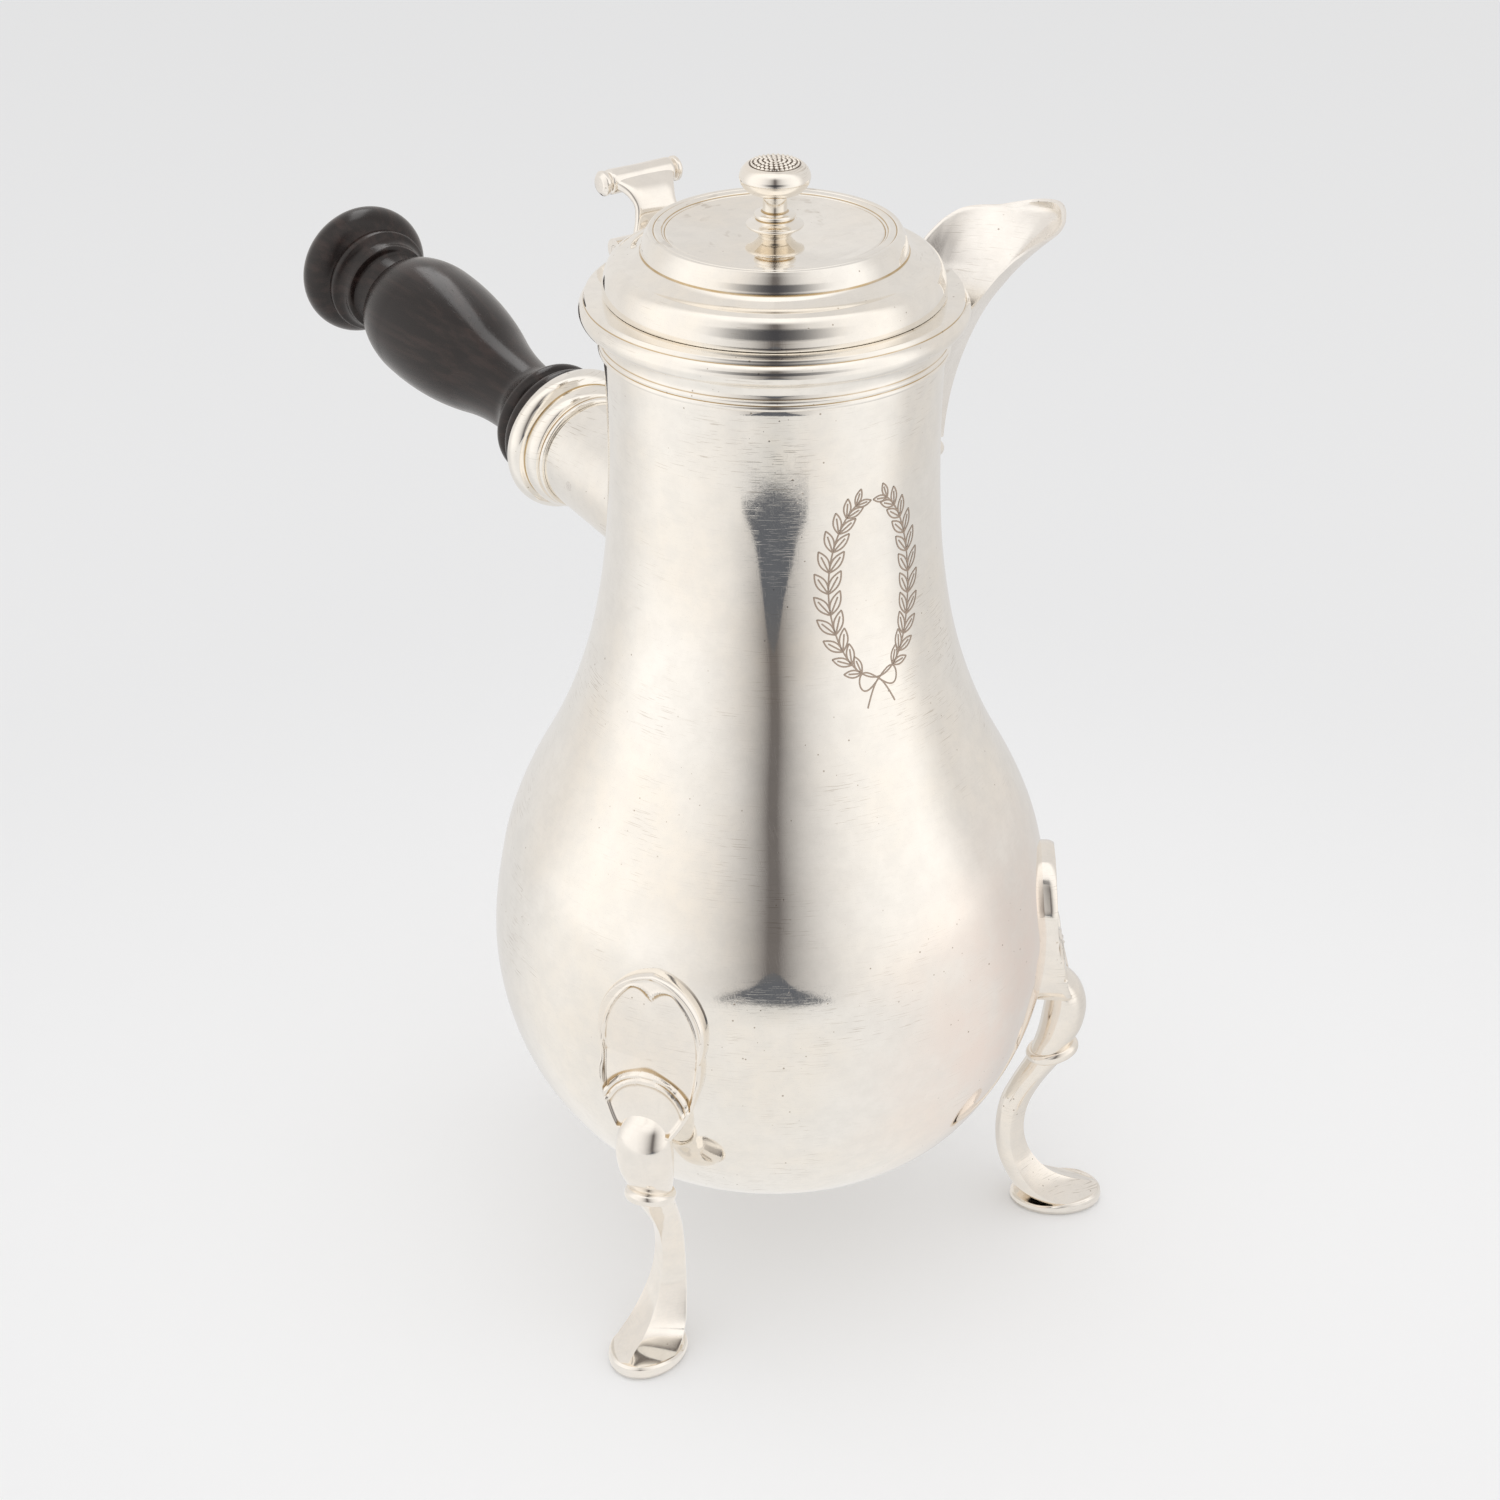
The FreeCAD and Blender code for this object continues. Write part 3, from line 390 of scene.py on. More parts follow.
def silver_finish(name, bright, gold, gloss, groove, blush=False):
    """Polished old silver: `bright` is the clean colour, `gold` the tarnish in hollows,
    `gloss` the roughness of rubbed places, `groove` the depth at which tarnish starts, and
    `blush` adds the rosy stain on the belly."""
    finish, tree, shader = new_finish(name, Metallic=1.0)
    plain = placed(tree)
    lines = []
    for number, (scale, turn, start) in enumerate(STROKES):
        where = placed(tree, scale, turn, (0.31 * number, 0.17, 0))
        lines.append(noise(where, 1, 2, 0.5).spread(start, start + STROKE_EDGE))
    scratch = lines[0]
    for line in lines[1:]:
        scratch = scratch.math("MAXIMUM", line)
    scratch = scratch * noise(plain, 60, 3).spread(0.35, 0.65, 0.25, 1)
    hair = lines[0] * noise(plain, 48, 3).spread(0.5, 0.68, 0.05, 0.6)
    pit = pits(plain, 430, 0.11, 0.50)
    cloudy = noise(plain, 34, 5).spread(0.35, 0.75)
    fine = noise(plain, 900, 4, 0.7).spread(0.3, 0.75)
    mottled = noise(plain, 210, 6, 0.7).spread(0.34, 0.68)
    hollow = added(tree, "ShaderNodeAttribute", output="Fac", attribute_name="hollow")
    patina = hollow.spread(groove, groove * 4) * noise(plain, 90, 4).spread(0.2, 0.55, 0.35, 1)

    colour = blended(cloudy, bright, tinted(bright, YELLOWED))
    colour = blended(mottled * 0.5, colour, tinted(bright, DULLED))
    colour = blended(hair, colour, HAIRLINE)
    if blush:
        rosy = plain.measure("DISTANCE", BLUSH_AT).spread(BLUSH_END, BLUSH_CORE)
        rosy = rosy * noise(plain, 70, 5, 0.65).spread(0.3, 0.65, 0.35, 1)
        colour = blended(rosy, colour, tinted(bright, ROSY))
    colour = blended(patina, colour, gold)
    colour = blended(pit * 0.75, colour, PIT)
    rough = cloudy * 0.02 + gloss + scratch * 0.05 + fine * 0.015 + patina * 0.18
    height = fine * 0.7 - scratch - pit * 6
    surfaced(shader, colour, rough, height, SILVER_BUMP, SILVER_BUMP_DEPTH)
    return finish


SILVER = silver_finish(
    "old_silver", (0.96, 0.935, 0.89), (0.56, 0.41, 0.22), 0.03, 0.009, blush=True,
)
CAST = silver_finish("cast_silver", (0.955, 0.92, 0.87), (0.52, 0.38, 0.22), 0.08, 0.03)
KNOP = silver_finish("knop_silver", (0.955, 0.92, 0.865), (0.13, 0.09, 0.06), 0.05, 0.006)
BEAK = silver_finish("beak_silver", (0.96, 0.93, 0.89), (0.74, 0.63, 0.46), 0.23, 0.2)
PLAIN = silver_finish("inner_silver", (0.86, 0.83, 0.79), (0.5, 0.4, 0.27), 0.24, 0.02)
print("finishes:", [finish.name for finish in (SILVER, CAST, KNOP, BEAK, PLAIN)])

# %% [markdown]
# The pot was raised from sheet by hammering, then planished smooth. Two arcs lead from the
# base up to the belly. Above it the wall leans in and straightens again, and the table says by
# how much. A faint waviness is left in a real wall and makes its reflections look hand-made.

# %% Pot wall
BELLY, BELLY_Z, BASE_Z, RIM_Z, WALL = 61.1, 73.7, 23.2, 221.0, 1.2
NECK, MOUTH = 34.9, 34.2
BASE_TURN, BELLY_CURVE, SHOULDER_TURN, SHOULDER_CURVE = 53.0, 64.0, 29.7, 85.0
DRAWN_STEP, WALL_STEP, INNER_STEP, WALL_COLUMNS, HAMMER = 0.4, 0.95, 2.4, 256, 0.011
# height, and lean of the outer wall in degrees from upright
LEAN = np.array([
    (73.7, 0.0), (80.0, 5.2), (87.6, 9.9), (92.4, 10.5), (97.0, 14.2), (103.0, 20.2),
    (115.8, 29.4), (125.0, 24.5), (140.0, 16.0), (150.0, 11.0), (160.0, 7.5), (170.0, 3.8),
    (175.0, 2.4), (185.0, 0.6), (195.0, -0.8), (200.0, -1.8), (205.0, -2.6), (209.0, -2.9),
])


def pot_outline(inset):
    """Half section moved inwards: each arc starts in the direction the last one ends in."""
    low, high = math.radians(BASE_TURN), math.radians(SHOULDER_TURN)
    haunch = (BELLY - BELLY_CURVE * (1 - math.sin(low)), BELLY_Z - BELLY_CURVE * math.cos(low))
    base_curve = (haunch[1] - BASE_Z) / (1 - math.cos(low))
    shoulder_x = BELLY - SHOULDER_CURVE * (1 - math.cos(high))
    shoulder_z = BELLY_Z + SHOULDER_CURVE * math.sin(high)
    neck_z = shoulder_z + (shoulder_x - NECK) / (1 - math.cos(high)) * math.sin(high)
    return [
        (0, BASE_Z + inset),
        (haunch[0] - base_curve * math.sin(low), BASE_Z + inset, BASE_TURN),
        (haunch[0] - inset * math.sin(low), haunch[1] + inset * math.cos(low), 90 - BASE_TURN),
        (BELLY - inset, BELLY_Z, SHOULDER_TURN),
        (shoulder_x - inset * math.cos(high), shoulder_z - inset * math.sin(high), -SHOULDER_TURN),
        (NECK - inset, neck_z),
        (MOUTH - inset, RIM_Z),
    ]


def leaning_wall(step):
    """Upper half section: the radius loses tan(lean) for every millimetre of height."""
    height = np.arange(BELLY_Z, LEAN[-1, 0], step)
    slope = np.tan(np.radians(np.interp(height, LEAN[:, 0], LEAN[:, 1])))
    loss = np.concatenate([[0], np.cumsum((slope[1:] + slope[:-1]) / 2 * step)])
    return np.stack([BELLY - loss, height], axis=1)


lower_wall = run_along(pot_outline(0)[:4], DRAWN_STEP)
upper_wall = np.concatenate([leaning_wall(DRAWN_STEP), [(MOUTH, RIM_Z)]])


def wall_radius(height):
    """Outer radius of the pot at a height above its belly."""
    return np.interp(height, upper_wall[:, 1], upper_wall[:, 0])


def planished(points):
    """The wall moved in and out by a few crossing waves, as hammering leaves it."""
    angle = np.arctan2(points[:, 1], points[:, 0])
    height = points[:, 2]
    wave = np.sin(7 * angle + height / 9) + np.sin(11 * angle - height / 7 + 1)
    wave = wave + 0.7 * np.sin(17 * angle + height / 5 + 2) + 0.5 * np.sin(5 * angle - height / 4)
    radius = np.hypot(points[:, 0], points[:, 1])
    swing = HAMMER * wave * np.clip(radius / 30, 0, 1) * np.clip((RIM_Z - height) / 30, 0, 1)
    scale = 1 + swing / np.maximum(radius, 1)
    return points * np.stack([scale, scale, np.ones_like(scale)], axis=1)


outer_line = evenly(np.concatenate([lower_wall, upper_wall]), WALL_STEP)
inner_line = evenly(run_along(pot_outline(WALL), DRAWN_STEP), INNER_STEP)
wall = spun(np.concatenate([outer_line, inner_line[::-1]]), WALL_COLUMNS)
wall_mesh = mesh_of("pot_body_wall", [moved(wall, planished)])
print("wall:", len(outer_line), "rows outside,", len(inner_line), "inside")

# %% [markdown]
# Behind the spout the wall is pierced with rows of small holes that keep the grounds back. The
# holes are bars laid through the wall, cut out of the mesh, in rows of four down to one.

# %% Strainer holes
SPOUT_TURN = math.radians(-7.0)
HOLE, PITCH, FIRST_ROW, ROWS = 1.3, 5.0, RIM_Z - 15.8, (4, 3, 2, 1)
BAR_START, BAR_END = 28.0, 42.0


def hole_bar(across, height):
    """A round bar along the spout's direction, through the wall at a height."""
    outline = np.array([(0, BAR_START), (HOLE, BAR_START), (HOLE, BAR_END), (0, BAR_END)])
    points, faces = spun(outline, 40)
    return turned_round(along_x(points, across, height), SPOUT_TURN), faces


holes = [
    hole_bar((place - (count - 1) / 2) * PITCH, FIRST_ROW - row * PITCH * math.sqrt(3) / 2)
    for row, count in enumerate(ROWS) for place in range(count)
]
plain_wall = new_object("plain_wall", wall_mesh)
borer = new_object("borer", mesh_of("borer", holes))
bore = plain_wall.modifiers.new("holes", "BOOLEAN")
bore.object, bore.solver = borer, "EXACT"
bored = plain_wall.evaluated_get(bpy.context.evaluated_depsgraph_get())
pierced = bpy.data.meshes.new_from_object(bored)
for helper in (plain_wall, borer):
    bpy.data.objects.remove(helper)
pierced.materials.clear()
add_piece("pot_body_wall", SILVER, pierced, ["pot_body"])
print("strainer holes:", len(holes))

# %% [markdown]
# The front of the neck carries an engraving: a plain laurel wreath around an empty field. Two
# bent stems with pairs of pointed leaves are drawn as narrow lines that lie on the wall.

# %% Engraved wreath
WREATH_Z, WREATH_HALF, WREATH_RISE = 169.0, 10.0, 19.5
LINE, LIFT = 0.17, 0.04
LEAVES, LEAF, LEAF_SWELL, LEAF_TURN, LEAF_WIDTH = 11, 3.4, 2.0, 0.55, 0.19
KNOT, BOW, BOW_RISE = -WREATH_RISE - 0.4, 4.6, 1.9
ENGRAVED, _, _ = new_finish(
    "engraved_lines", Base_Color=(0.47, 0.385, 0.32), Metallic=1.0, Roughness=0.5,
)


def on_front(lines):
    """Lines of (across, up) become narrow bands on the wall in front, facing -Y."""
    ahead = np.gradient(lines, axis=1)
    ahead /= np.maximum(np.linalg.norm(ahead, axis=-1, keepdims=True), 1e-9)
    aside = np.stack([-ahead[..., 1], ahead[..., 0]], axis=-1) * LINE
    band = np.stack([lines - aside, lines + aside], axis=2)
    height = WREATH_Z + band[..., 1]
    radius = wall_radius(height)
    flat = about_z(radius, -np.pi / 2 + band[..., 0] / radius, height)
    wall = planished(flat.reshape(-1, 3)).reshape(flat.shape)
    return wall * (1 + np.array([LIFT, LIFT, 0]) / radius[..., None])


def on_stem(side, angle):
    """A point of one stem, half of a tall ellipse."""
    return np.stack([side * WREATH_HALF * np.sin(angle), -WREATH_RISE * np.cos(angle)], axis=-1)


def leaf_lines(side):
    """Outlines and midribs of the leaves along one stem, larger in the middle of the stem."""
    share = np.repeat(np.linspace(0.1, 0.97, LEAVES), 2)
    angle = np.pi * (0.04 + 0.86 * share)
    root = on_stem(side, angle)
    way = np.arctan2(WREATH_RISE * np.sin(angle), side * WREATH_HALF * np.cos(angle))
    way = way + np.tile([LEAF_TURN, -LEAF_TURN], LEAVES)
    size = LEAF + LEAF_SWELL * np.sin(np.pi * share)
    s = np.linspace(0, 1, 25)
    edge = LEAF_WIDTH * np.sin(np.pi * s) ** 0.9
    outline = np.concatenate([np.stack([s, edge], axis=1), np.stack([s, -edge], axis=1)[::-1]])
    rib = np.stack([np.linspace(0.08, 0.75, 25), np.zeros(25)], axis=1)

    def grown(shape):
        x, y = shape[:, 0] * size[:, None], shape[:, 1] * size[:, None]
        cos, sin = np.cos(way)[:, None], np.sin(way)[:, None]
        return root[:, None] + np.stack([x * cos - y * sin, x * sin + y * cos], axis=-1)

    return [grown(outline), grown(rib)]


def tail_line(side):
    """One end of the ribbon, bending down from the knot."""
    return np.stack([
        side * np.linspace(0, 3.4, 20), KNOT - 5.5 * np.linspace(0, 1, 20) ** 1.4,
    ], axis=-1)


sweep = np.linspace(0, 2 * np.pi, 60)
drawing = [np.stack([BOW * np.sin(sweep), KNOT + BOW_RISE * np.sin(2 * sweep)], axis=-1)[None]]
for side in (-1, 1):
    stem = on_stem(side, np.linspace(-0.02, 0.92, 90) * np.pi)
    drawing += [tail_line(side)[None], stem[None], *leaf_lines(side)]
bands = [cells(band) for lines in drawing for band in on_front(lines)]
add_piece("engraved_wreath", ENGRAVED, bands)

# %% [markdown]
# The rim moulding and the lid are turned work: bead, cove and reeds, each a short arc.
# Edges that hands touch are rubbed round, so the outlines are worn by a fraction of a
# millimetre, and polish that stays in the grooves turns them gold.

# %% Rim moulding and lid
BEAD_TOP = RIM_Z - 1.1
BEAD_BOTTOM = BEAD_TOP - 4.3
REED_TOP = BEAD_BOTTOM - 4.0
RIM_BOTTOM = REED_TOP - 2.4
REED, BEAD = MOUTH + 1.35, MOUTH + 4.4
LID_Z, LID_FOOT, LID_TOP = RIM_Z + 0.3, RIM_Z + 0.08, RIM_Z + 13.2
PLATE_Z, DRUM_FOOT = LID_TOP - 1.8, LID_TOP - 4.6
BEZEL = MOUTH - WALL - 0.9
GROOVE = 0.2


def grooved(start, end, share, depth):
    """Corners of one V groove at a share of the way along a straight run."""
    first, last = np.array(start), np.array(end)
    ahead = (last - first) / np.linalg.norm(last - first)
    middle = first + share * (last - first)
    bottom = middle + np.array([-ahead[1], ahead[0]]) * depth
    return [tuple(mark) for mark in (middle - ahead * GROOVE, bottom, middle + ahead * GROOVE)]


rim = turned([
    (REED - 1.2, RIM_BOTTOM), (REED, RIM_BOTTOM, 130), (REED, RIM_BOTTOM + 1.2, 130),
    (REED, REED_TOP, -70), (MOUTH + 3.1, BEAD_BOTTOM), (BEAD, BEAD_BOTTOM, 110), (BEAD, BEAD_TOP),
    (MOUTH + 4.2, RIM_Z), (MOUTH, RIM_Z),
], 0.2, 0.13, 288, closed=True)
add_piece("rim_moulding_ring", SILVER, [rim], ["rim_moulding"])

# runs of the lid's outline, each with its point spacing and wear
drum_edge, plate_edge = (25.45, LID_TOP), (22.9, LID_TOP - 0.15)
step_edge, plate = (22.65, LID_TOP - 0.5), (20.0, LID_TOP - 0.7)
cover_runs = [
    ([(34.6, LID_FOOT), (34.9, LID_FOOT + 0.3), (34.9, LID_Z + 0.6, 24), (33.9, LID_Z + 5.0, 55),
      (31.6, LID_Z + 6.7, -48), (27.0, DRUM_FOOT + 0.3, 30), (25.75, LID_TOP - 0.5)], 0.22, 0.16),
    ([(25.75, LID_TOP - 0.5), drum_edge, *grooved(drum_edge, plate_edge, 0.42, 0.32), plate_edge,
      step_edge, *grooved(step_edge, plate, 0.2, 0.3), plate], 0.09, 0.06),
    ([plate, (1.55, PLATE_Z), (1.55, PLATE_Z - WALL)], 0.4, 0.1),
    ([(1.55, PLATE_Z - WALL), (22.2, LID_TOP - 1.9), (25.0, LID_TOP - 1.9),
      (25.0, DRUM_FOOT - WALL), (30.0, LID_Z + 4.0), (BEZEL, LID_Z + WALL),
      (BEZEL - WALL, LID_Z + WALL), (BEZEL - WALL, LID_Z), (MOUTH + 0.2, LID_Z),
      (34.6, LID_FOOT)], 0.6, 0.1),
]
cover_line = np.concatenate([worn(*run)[:-1] for run in cover_runs])
cover = [spun(cover_line, 256, closed=True)]
add_piece("lid_cover_turned", SILVER, cover, ["lid_cover"], body="lid")
bezel = turned([
    (BEZEL - WALL, LID_Z - 6.5), (BEZEL, LID_Z - 6.5), (BEZEL, LID_Z), (BEZEL - WALL, LID_Z),
], 0.25, 0.15, 192, closed=True)
add_piece("lid_bezel_ring", PLAIN, [bezel], ["lid_bezel"], "lid")

# %% [markdown]
# The finial is a turned button whose cap was chased with rings of small beads. On the cap a
# point at radius r belongs to ring k = r / pitch, and ring k has six times k beads, so the
# nearest bead is found by rounding, without any list of beads.

# %% Finial
FINIAL_TOP = PLATE_Z + 16.2
FLANGE_Z, BUTTON_FOOT = PLATE_Z + 3.0, FINIAL_TOP - 7.0
CAP, CAP_FOOT, CAP_PITCH, CAP_BEAD = 4.85, FINIAL_TOP - 1.3, 0.98, 0.42
STEM_TOP = FINIAL_TOP - 1.6
finial_outline = [
    (0, PLATE_Z - 3.6), (1.5, PLATE_Z - 3.6), (1.5, PLATE_Z), (3.1, PLATE_Z, -40),
    (5.7, FLANGE_Z - 0.7, 60), (5.8, FLANGE_Z - 0.1, -45), (3.7, FLANGE_Z + 1.1, 170),
    (3.7, FLANGE_Z + 2.2), (2.5, FLANGE_Z + 2.4), (2.4, BUTTON_FOOT), (4.3, BUTTON_FOOT, 75),
    (7.2, BUTTON_FOOT + 3.4, 60), (5.35, FINIAL_TOP - 0.95), (5.1, FINIAL_TOP - 1.2),
    (CAP, FINIAL_TOP - 0.95, 14), (0, FINIAL_TOP - 0.46),
]


def beaded(points):
    """Beads on the cap: height * (1 - (distance / half pitch) squared) above each centre."""
    across = np.hypot(points[:, 0], points[:, 1])
    angle = np.arctan2(points[:, 1], points[:, 0])
    ring = np.round(across / CAP_PITCH)
    number = np.maximum(6 * ring, 1)
    off = angle * number / (2 * np.pi)
    around = (off - np.round(off)) * 2 * np.pi / number * across
    far = np.hypot(across - ring * CAP_PITCH, np.where(ring > 0, around, 0))
    bead = CAP_BEAD * np.clip(1 - (far / (0.5 * CAP_PITCH)) ** 2, 0, None)
    bead = np.where((points[:, 2] > CAP_FOOT) & (across < CAP), bead, 0)
    return points + bead[:, None] * np.array([0, 0, 1])


finial = moved(turned(finial_outline, 0.14, 0.12, 240), beaded)
knop = add_piece("finial_turned", KNOP, [finial], ["finial"], body="lid", rounds=8)
knop.data.materials.append(SILVER)
face_heights = read_out(knop.data.polygons, "center", 3, np.float32)[:, 2]
stem_faces = (face_heights < STEM_TOP * MM).astype(np.int32)
knop.data.polygons.foreach_set("material_index", stem_faces)
print("stem faces:", stem_faces.sum())

# %% [markdown]
# The thumbpiece is a cast plate that leans back from the lid and ends in a roll with a button
# at each end. The plate is a rounded flat section carried up a curve, its width narrowing to
# a waist. The roll is a turned outline laid along X.

# %% Thumbpiece
ROLL_Y, ROLL_Z, ROLL = 50.4, 231.0, 2.7
SPINE = [(43, 220.4), (43, 226.2), (44.6, 229.4), (49.6, 231.4)]


def swelled(value, power):
    """A sine or cosine raised to a power with its sign kept; small powers square a section."""
    return np.sign(value) * np.abs(value) ** power


def bezier(corners, share):
    """A cubic curve through its first and last corner, pulled by the two between."""
    a, b, c, d = (np.array(corner, float) for corner in corners)
    s = share[:, None]
    return a * (1 - s) ** 3 + 3 * b * s * (1 - s) ** 2 + 3 * c * s**2 * (1 - s) + d * s**3


def thumb_plate(rows=60, columns=64):
    """Rounded flat sections: x = half * cos^0.35 and thickness * sin^0.6 about a leaning curve."""
    share = np.linspace(0, 1, rows)
    spine = bezier(SPINE, share)
    ahead = np.gradient(spine, axis=0)
    ahead /= np.linalg.norm(ahead, axis=1)[:, None]
    half = np.interp(share, [0, 0.2, 0.48, 0.75, 1], [6.4, 5.5, 4.8, 5.9, 8.2])
    half = np.convolve(np.pad(half, 5, mode="edge"), np.ones(11) / 11, "valid")
    thick = np.interp(share, [0, 0.5, 1], [1.1, 0.95, 1.3])
    angle = full_turn(columns)
    off = thick[:, None] * swelled(np.sin(angle), 0.6)
    x = half[:, None] * swelled(np.cos(angle), 0.35)
    y = spine[:, :1] - ahead[:, 1:] * off
    z = spine[:, 1:] + ahead[:, :1] * off
    return cells(capped(np.stack([x, y, z], axis=-1)), wrap_columns=True)


half_roll = [
    (ROLL - 0.1, 0), (ROLL, 7.0), (ROLL - 0.15, 7.6), (ROLL - 0.75, 7.9), (ROLL - 0.75, 8.2),
    (ROLL - 0.05, 8.4), (ROLL, 9.2), (ROLL - 0.9, 9.95), (0, 10.0),
]
roll_outline = [(r, -x) for r, x in reversed(half_roll)] + half_roll[1:]
roll = turned(roll_outline, 0.15, 0.12, 72)
roll = moved(roll, lambda points: along_x(points, ROLL_Y, ROLL_Z))
add_piece("thumbpiece_plate", CAST, [thumb_plate(), roll], ["thumbpiece"], body="lid")

# %% [markdown]
# The spout is a beak, open above. In plan its half width is w (1 - t^p)^q from the root to
# the nose, the keel stands out with the 2.6th power of the height, and the edge follows a
# curve that climbs from the rim, levels off and turns up again at the tip.

# %% Spout
LIP_Z, LIP_GUESS, BEAK_DEPTH = RIM_Z + 5.4, 222.0, 54.0
KEEL_FOOT, KEEL_TIP = LIP_Z - BEAK_DEPTH, LIP_Z + 0.3
FAN_FOOT, FAN_FULL = LIP_Z - BEAK_DEPTH * 0.89, LIP_Z - BEAK_DEPTH * 0.19
SPOUT_ROOT, SPOUT_NOSE, SPOUT_HALF, KEEL_START = 28.2, 67.5, 16.3, 5.6
BEAK_WALL, BEAK_FOOT, TROUGH_FOOT, BEAK_SINK = 0.8, 181.3, 184.0, 0.6
lip_line = worn([
    (20.0, 201.0), (37.5, 215.8), (40.0, 218.3), (42.8, 221.0), (46.8, 223.9), (51.0, 225.7),
    (54.5, 226.1), (58.8, 226.1), (62.2, 226.9), (65.0, 228.2), (67.5, 229.2), (72.0, 229.8),
], 0.3, 1.0)


def halved(inside, near, far, rounds):
    """The border between near, which is inside, and far, found by halving what lies between."""
    for _ in range(rounds):
        middle = (near + far) / 2
        within = inside(middle)
        near, far = np.where(within, middle, near), np.where(within, far, middle)
    return near


def beak_section(share, height, inset):
    """Half plan of the beak at a height, for shares t from the root to the nose."""
    s = np.clip((height - KEEL_FOOT) / (KEEL_TIP - KEEL_FOOT), 0, 1)
    foot = wall_radius(KEEL_FOOT) + KEEL_START
    reach = foot + (SPOUT_NOSE - foot) * s**2.6 - 1.3 * inset
    fan = np.clip((height - FAN_FOOT) / (FAN_FULL - FAN_FOOT), 1e-6, 1) ** 0.8
    half = np.maximum(SPOUT_HALF * fan - inset, 0.05)
    power, blunt = 1.7 + 2.6 * s**8, 1 - 0.3 * s**8
    out = np.maximum(1 - share**power, 0) ** blunt
    return SPOUT_ROOT + (reach - SPOUT_ROOT) * share, half * out


def beak_skin(inset, low, columns=97, rows=80):
    """Grid of the beak's skin: across from one root to the other, and up to its edge."""
    q = np.linspace(-1, 1, columns)
    away = np.abs(q) ** 1.4
    lip = np.full(columns, LIP_GUESS)
    for _ in range(14):
        x, _ = beak_section(1 - away, lip, inset)
        lip = 0.5 * lip + 0.5 * np.interp(x, lip_line[:, 0], lip_line[:, 1])
    height = low + (lip - low) * np.linspace(0, 1, rows)[:, None]

    def in_wall(share):
        return np.hypot(*beak_section(share, height, inset)) < wall_radius(height) - BEAK_SINK

    share = 1 - away * (1 - halved(in_wall, 0.0, 0.9, 24))
    x, y = beak_section(share, height, inset)
    grid = np.stack([x, np.sign(q) * y, height], axis=-1)
    for _ in range(6):
        grid[:, 1:-1, :2] = (grid[:, :-2, :2] + 2 * grid[:, 1:-1, :2] + grid[:, 2:, :2]) / 4
    return grid


outer_skin = turned_round(beak_skin(0.0, BEAK_FOOT), SPOUT_TURN)
inner_skin = turned_round(beak_skin(BEAK_WALL, TROUGH_FOOT), SPOUT_TURN)
lip_middle = (outer_skin[-1:] + inner_skin[-1:]) / 2 + np.array([0, 0, 0.3])
beak = [cells(np.concatenate([outer_skin, lip_middle, inner_skin[::-1]]), wrap_rows=True)]
beak += [cells(np.stack([outer_skin[:, end], inner_skin[:, end]])) for end in (0, -1)]
add_piece("spout_beak", BEAK, beak, ["spout"])

# %% [markdown]
# Under the root of the spout hangs a small bud, turned like the mouldings.

# %% Drop
DROP_TOP, DROP_OUT = 181.0, 2.0
drop_outline = [
    (0, -9.5), (0.8, -9.5, 60), (2.5, -4.3, 70), (2.0, -2.9), (2.65, -2.9, 150), (2.65, 0), (0, 0),
]


def hung(points):
    """The drop carried to the wall below the spout's root."""
    place = np.array([float(wall_radius(DROP_TOP)) + DROP_OUT, 0, DROP_TOP])
    return turned_round(points + place, SPOUT_TURN)


drop = moved(turned(drop_outline, 0.12, 0.1, 96), hung)
add_piece("spout_drop_bud", CAST, [drop], ["spout_drop"])

# %% [markdown]
# The handle is hardwood on a tenon in a silver socket. Socket, ring and grip share one axis
# that leaves the pot sideways and rises by 6.5 degrees. The socket's root is a saddle: for
# each angle round the tube, the distance at which it meets the wall is found by halving.

# %% Socket
TILT = math.radians(6.5)
HANDLE_Z = 151.7
SOCKET, SOCKET_END, SOCKET_SINK = 12.6, 83.0, 0.6
RING = SOCKET_END - 10.8


def on_handle(points):
    """Points about Z laid along the handle's axis: Z goes to +Y and up by the tilt."""
    x, y, z = points[..., 0], points[..., 1], points[..., 2]
    return np.stack([
        x, y * math.sin(TILT) + z * math.cos(TILT),
        HANDLE_Z - y * math.cos(TILT) + z * math.sin(TILT),
    ], axis=-1)


def socket_tube(radius, rows=60, columns=160):
    """Tube from its saddle on the wall, sunk a little, to the socket's end."""
    angle = full_turn(columns)

    def in_wall(distance):
        spot = on_handle(about_z(radius, angle, distance))
        return np.hypot(spot[:, 0], spot[:, 1]) < wall_radius(spot[:, 2]) - SOCKET_SINK

    root = halved(in_wall, 20.0, 70.0, 30)
    along = root + (SOCKET_END - root) * np.linspace(0, 1, rows)[:, None]
    return on_handle(about_z(radius, angle, along))


tube = np.concatenate([socket_tube(SOCKET), socket_tube(SOCKET - WALL)[::-1]])
tube = [cells(tube, wrap_rows=True, wrap_columns=True)]
add_piece("handle_socket_tube", SILVER, tube, ["handle_socket"])
ring_outline = [
    (SOCKET, RING), (SOCKET + 0.5, RING, 120), (SOCKET + 0.7, RING + 1.2),
    (SOCKET + 0.35, RING + 1.5), (SOCKET + 1.2, RING + 1.7, 60), (14.6, RING + 5.2),
    (14.4, RING + 5.5), (15.0, RING + 5.8, 150), (15.0, SOCKET_END), (SOCKET, SOCKET_END),
]
ring = moved(turned(ring_outline, 0.18, 0.12, 224, closed=True), on_handle)
add_piece("socket_ring_moulding", SILVER, [ring], ["socket_ring"])

# %% [markdown]
# The wood is nearly black, with brown streaks along the grain and a hand-worn satin polish.
# The grain is noise squeezed across the handle's axis, so the coordinates are turned first.

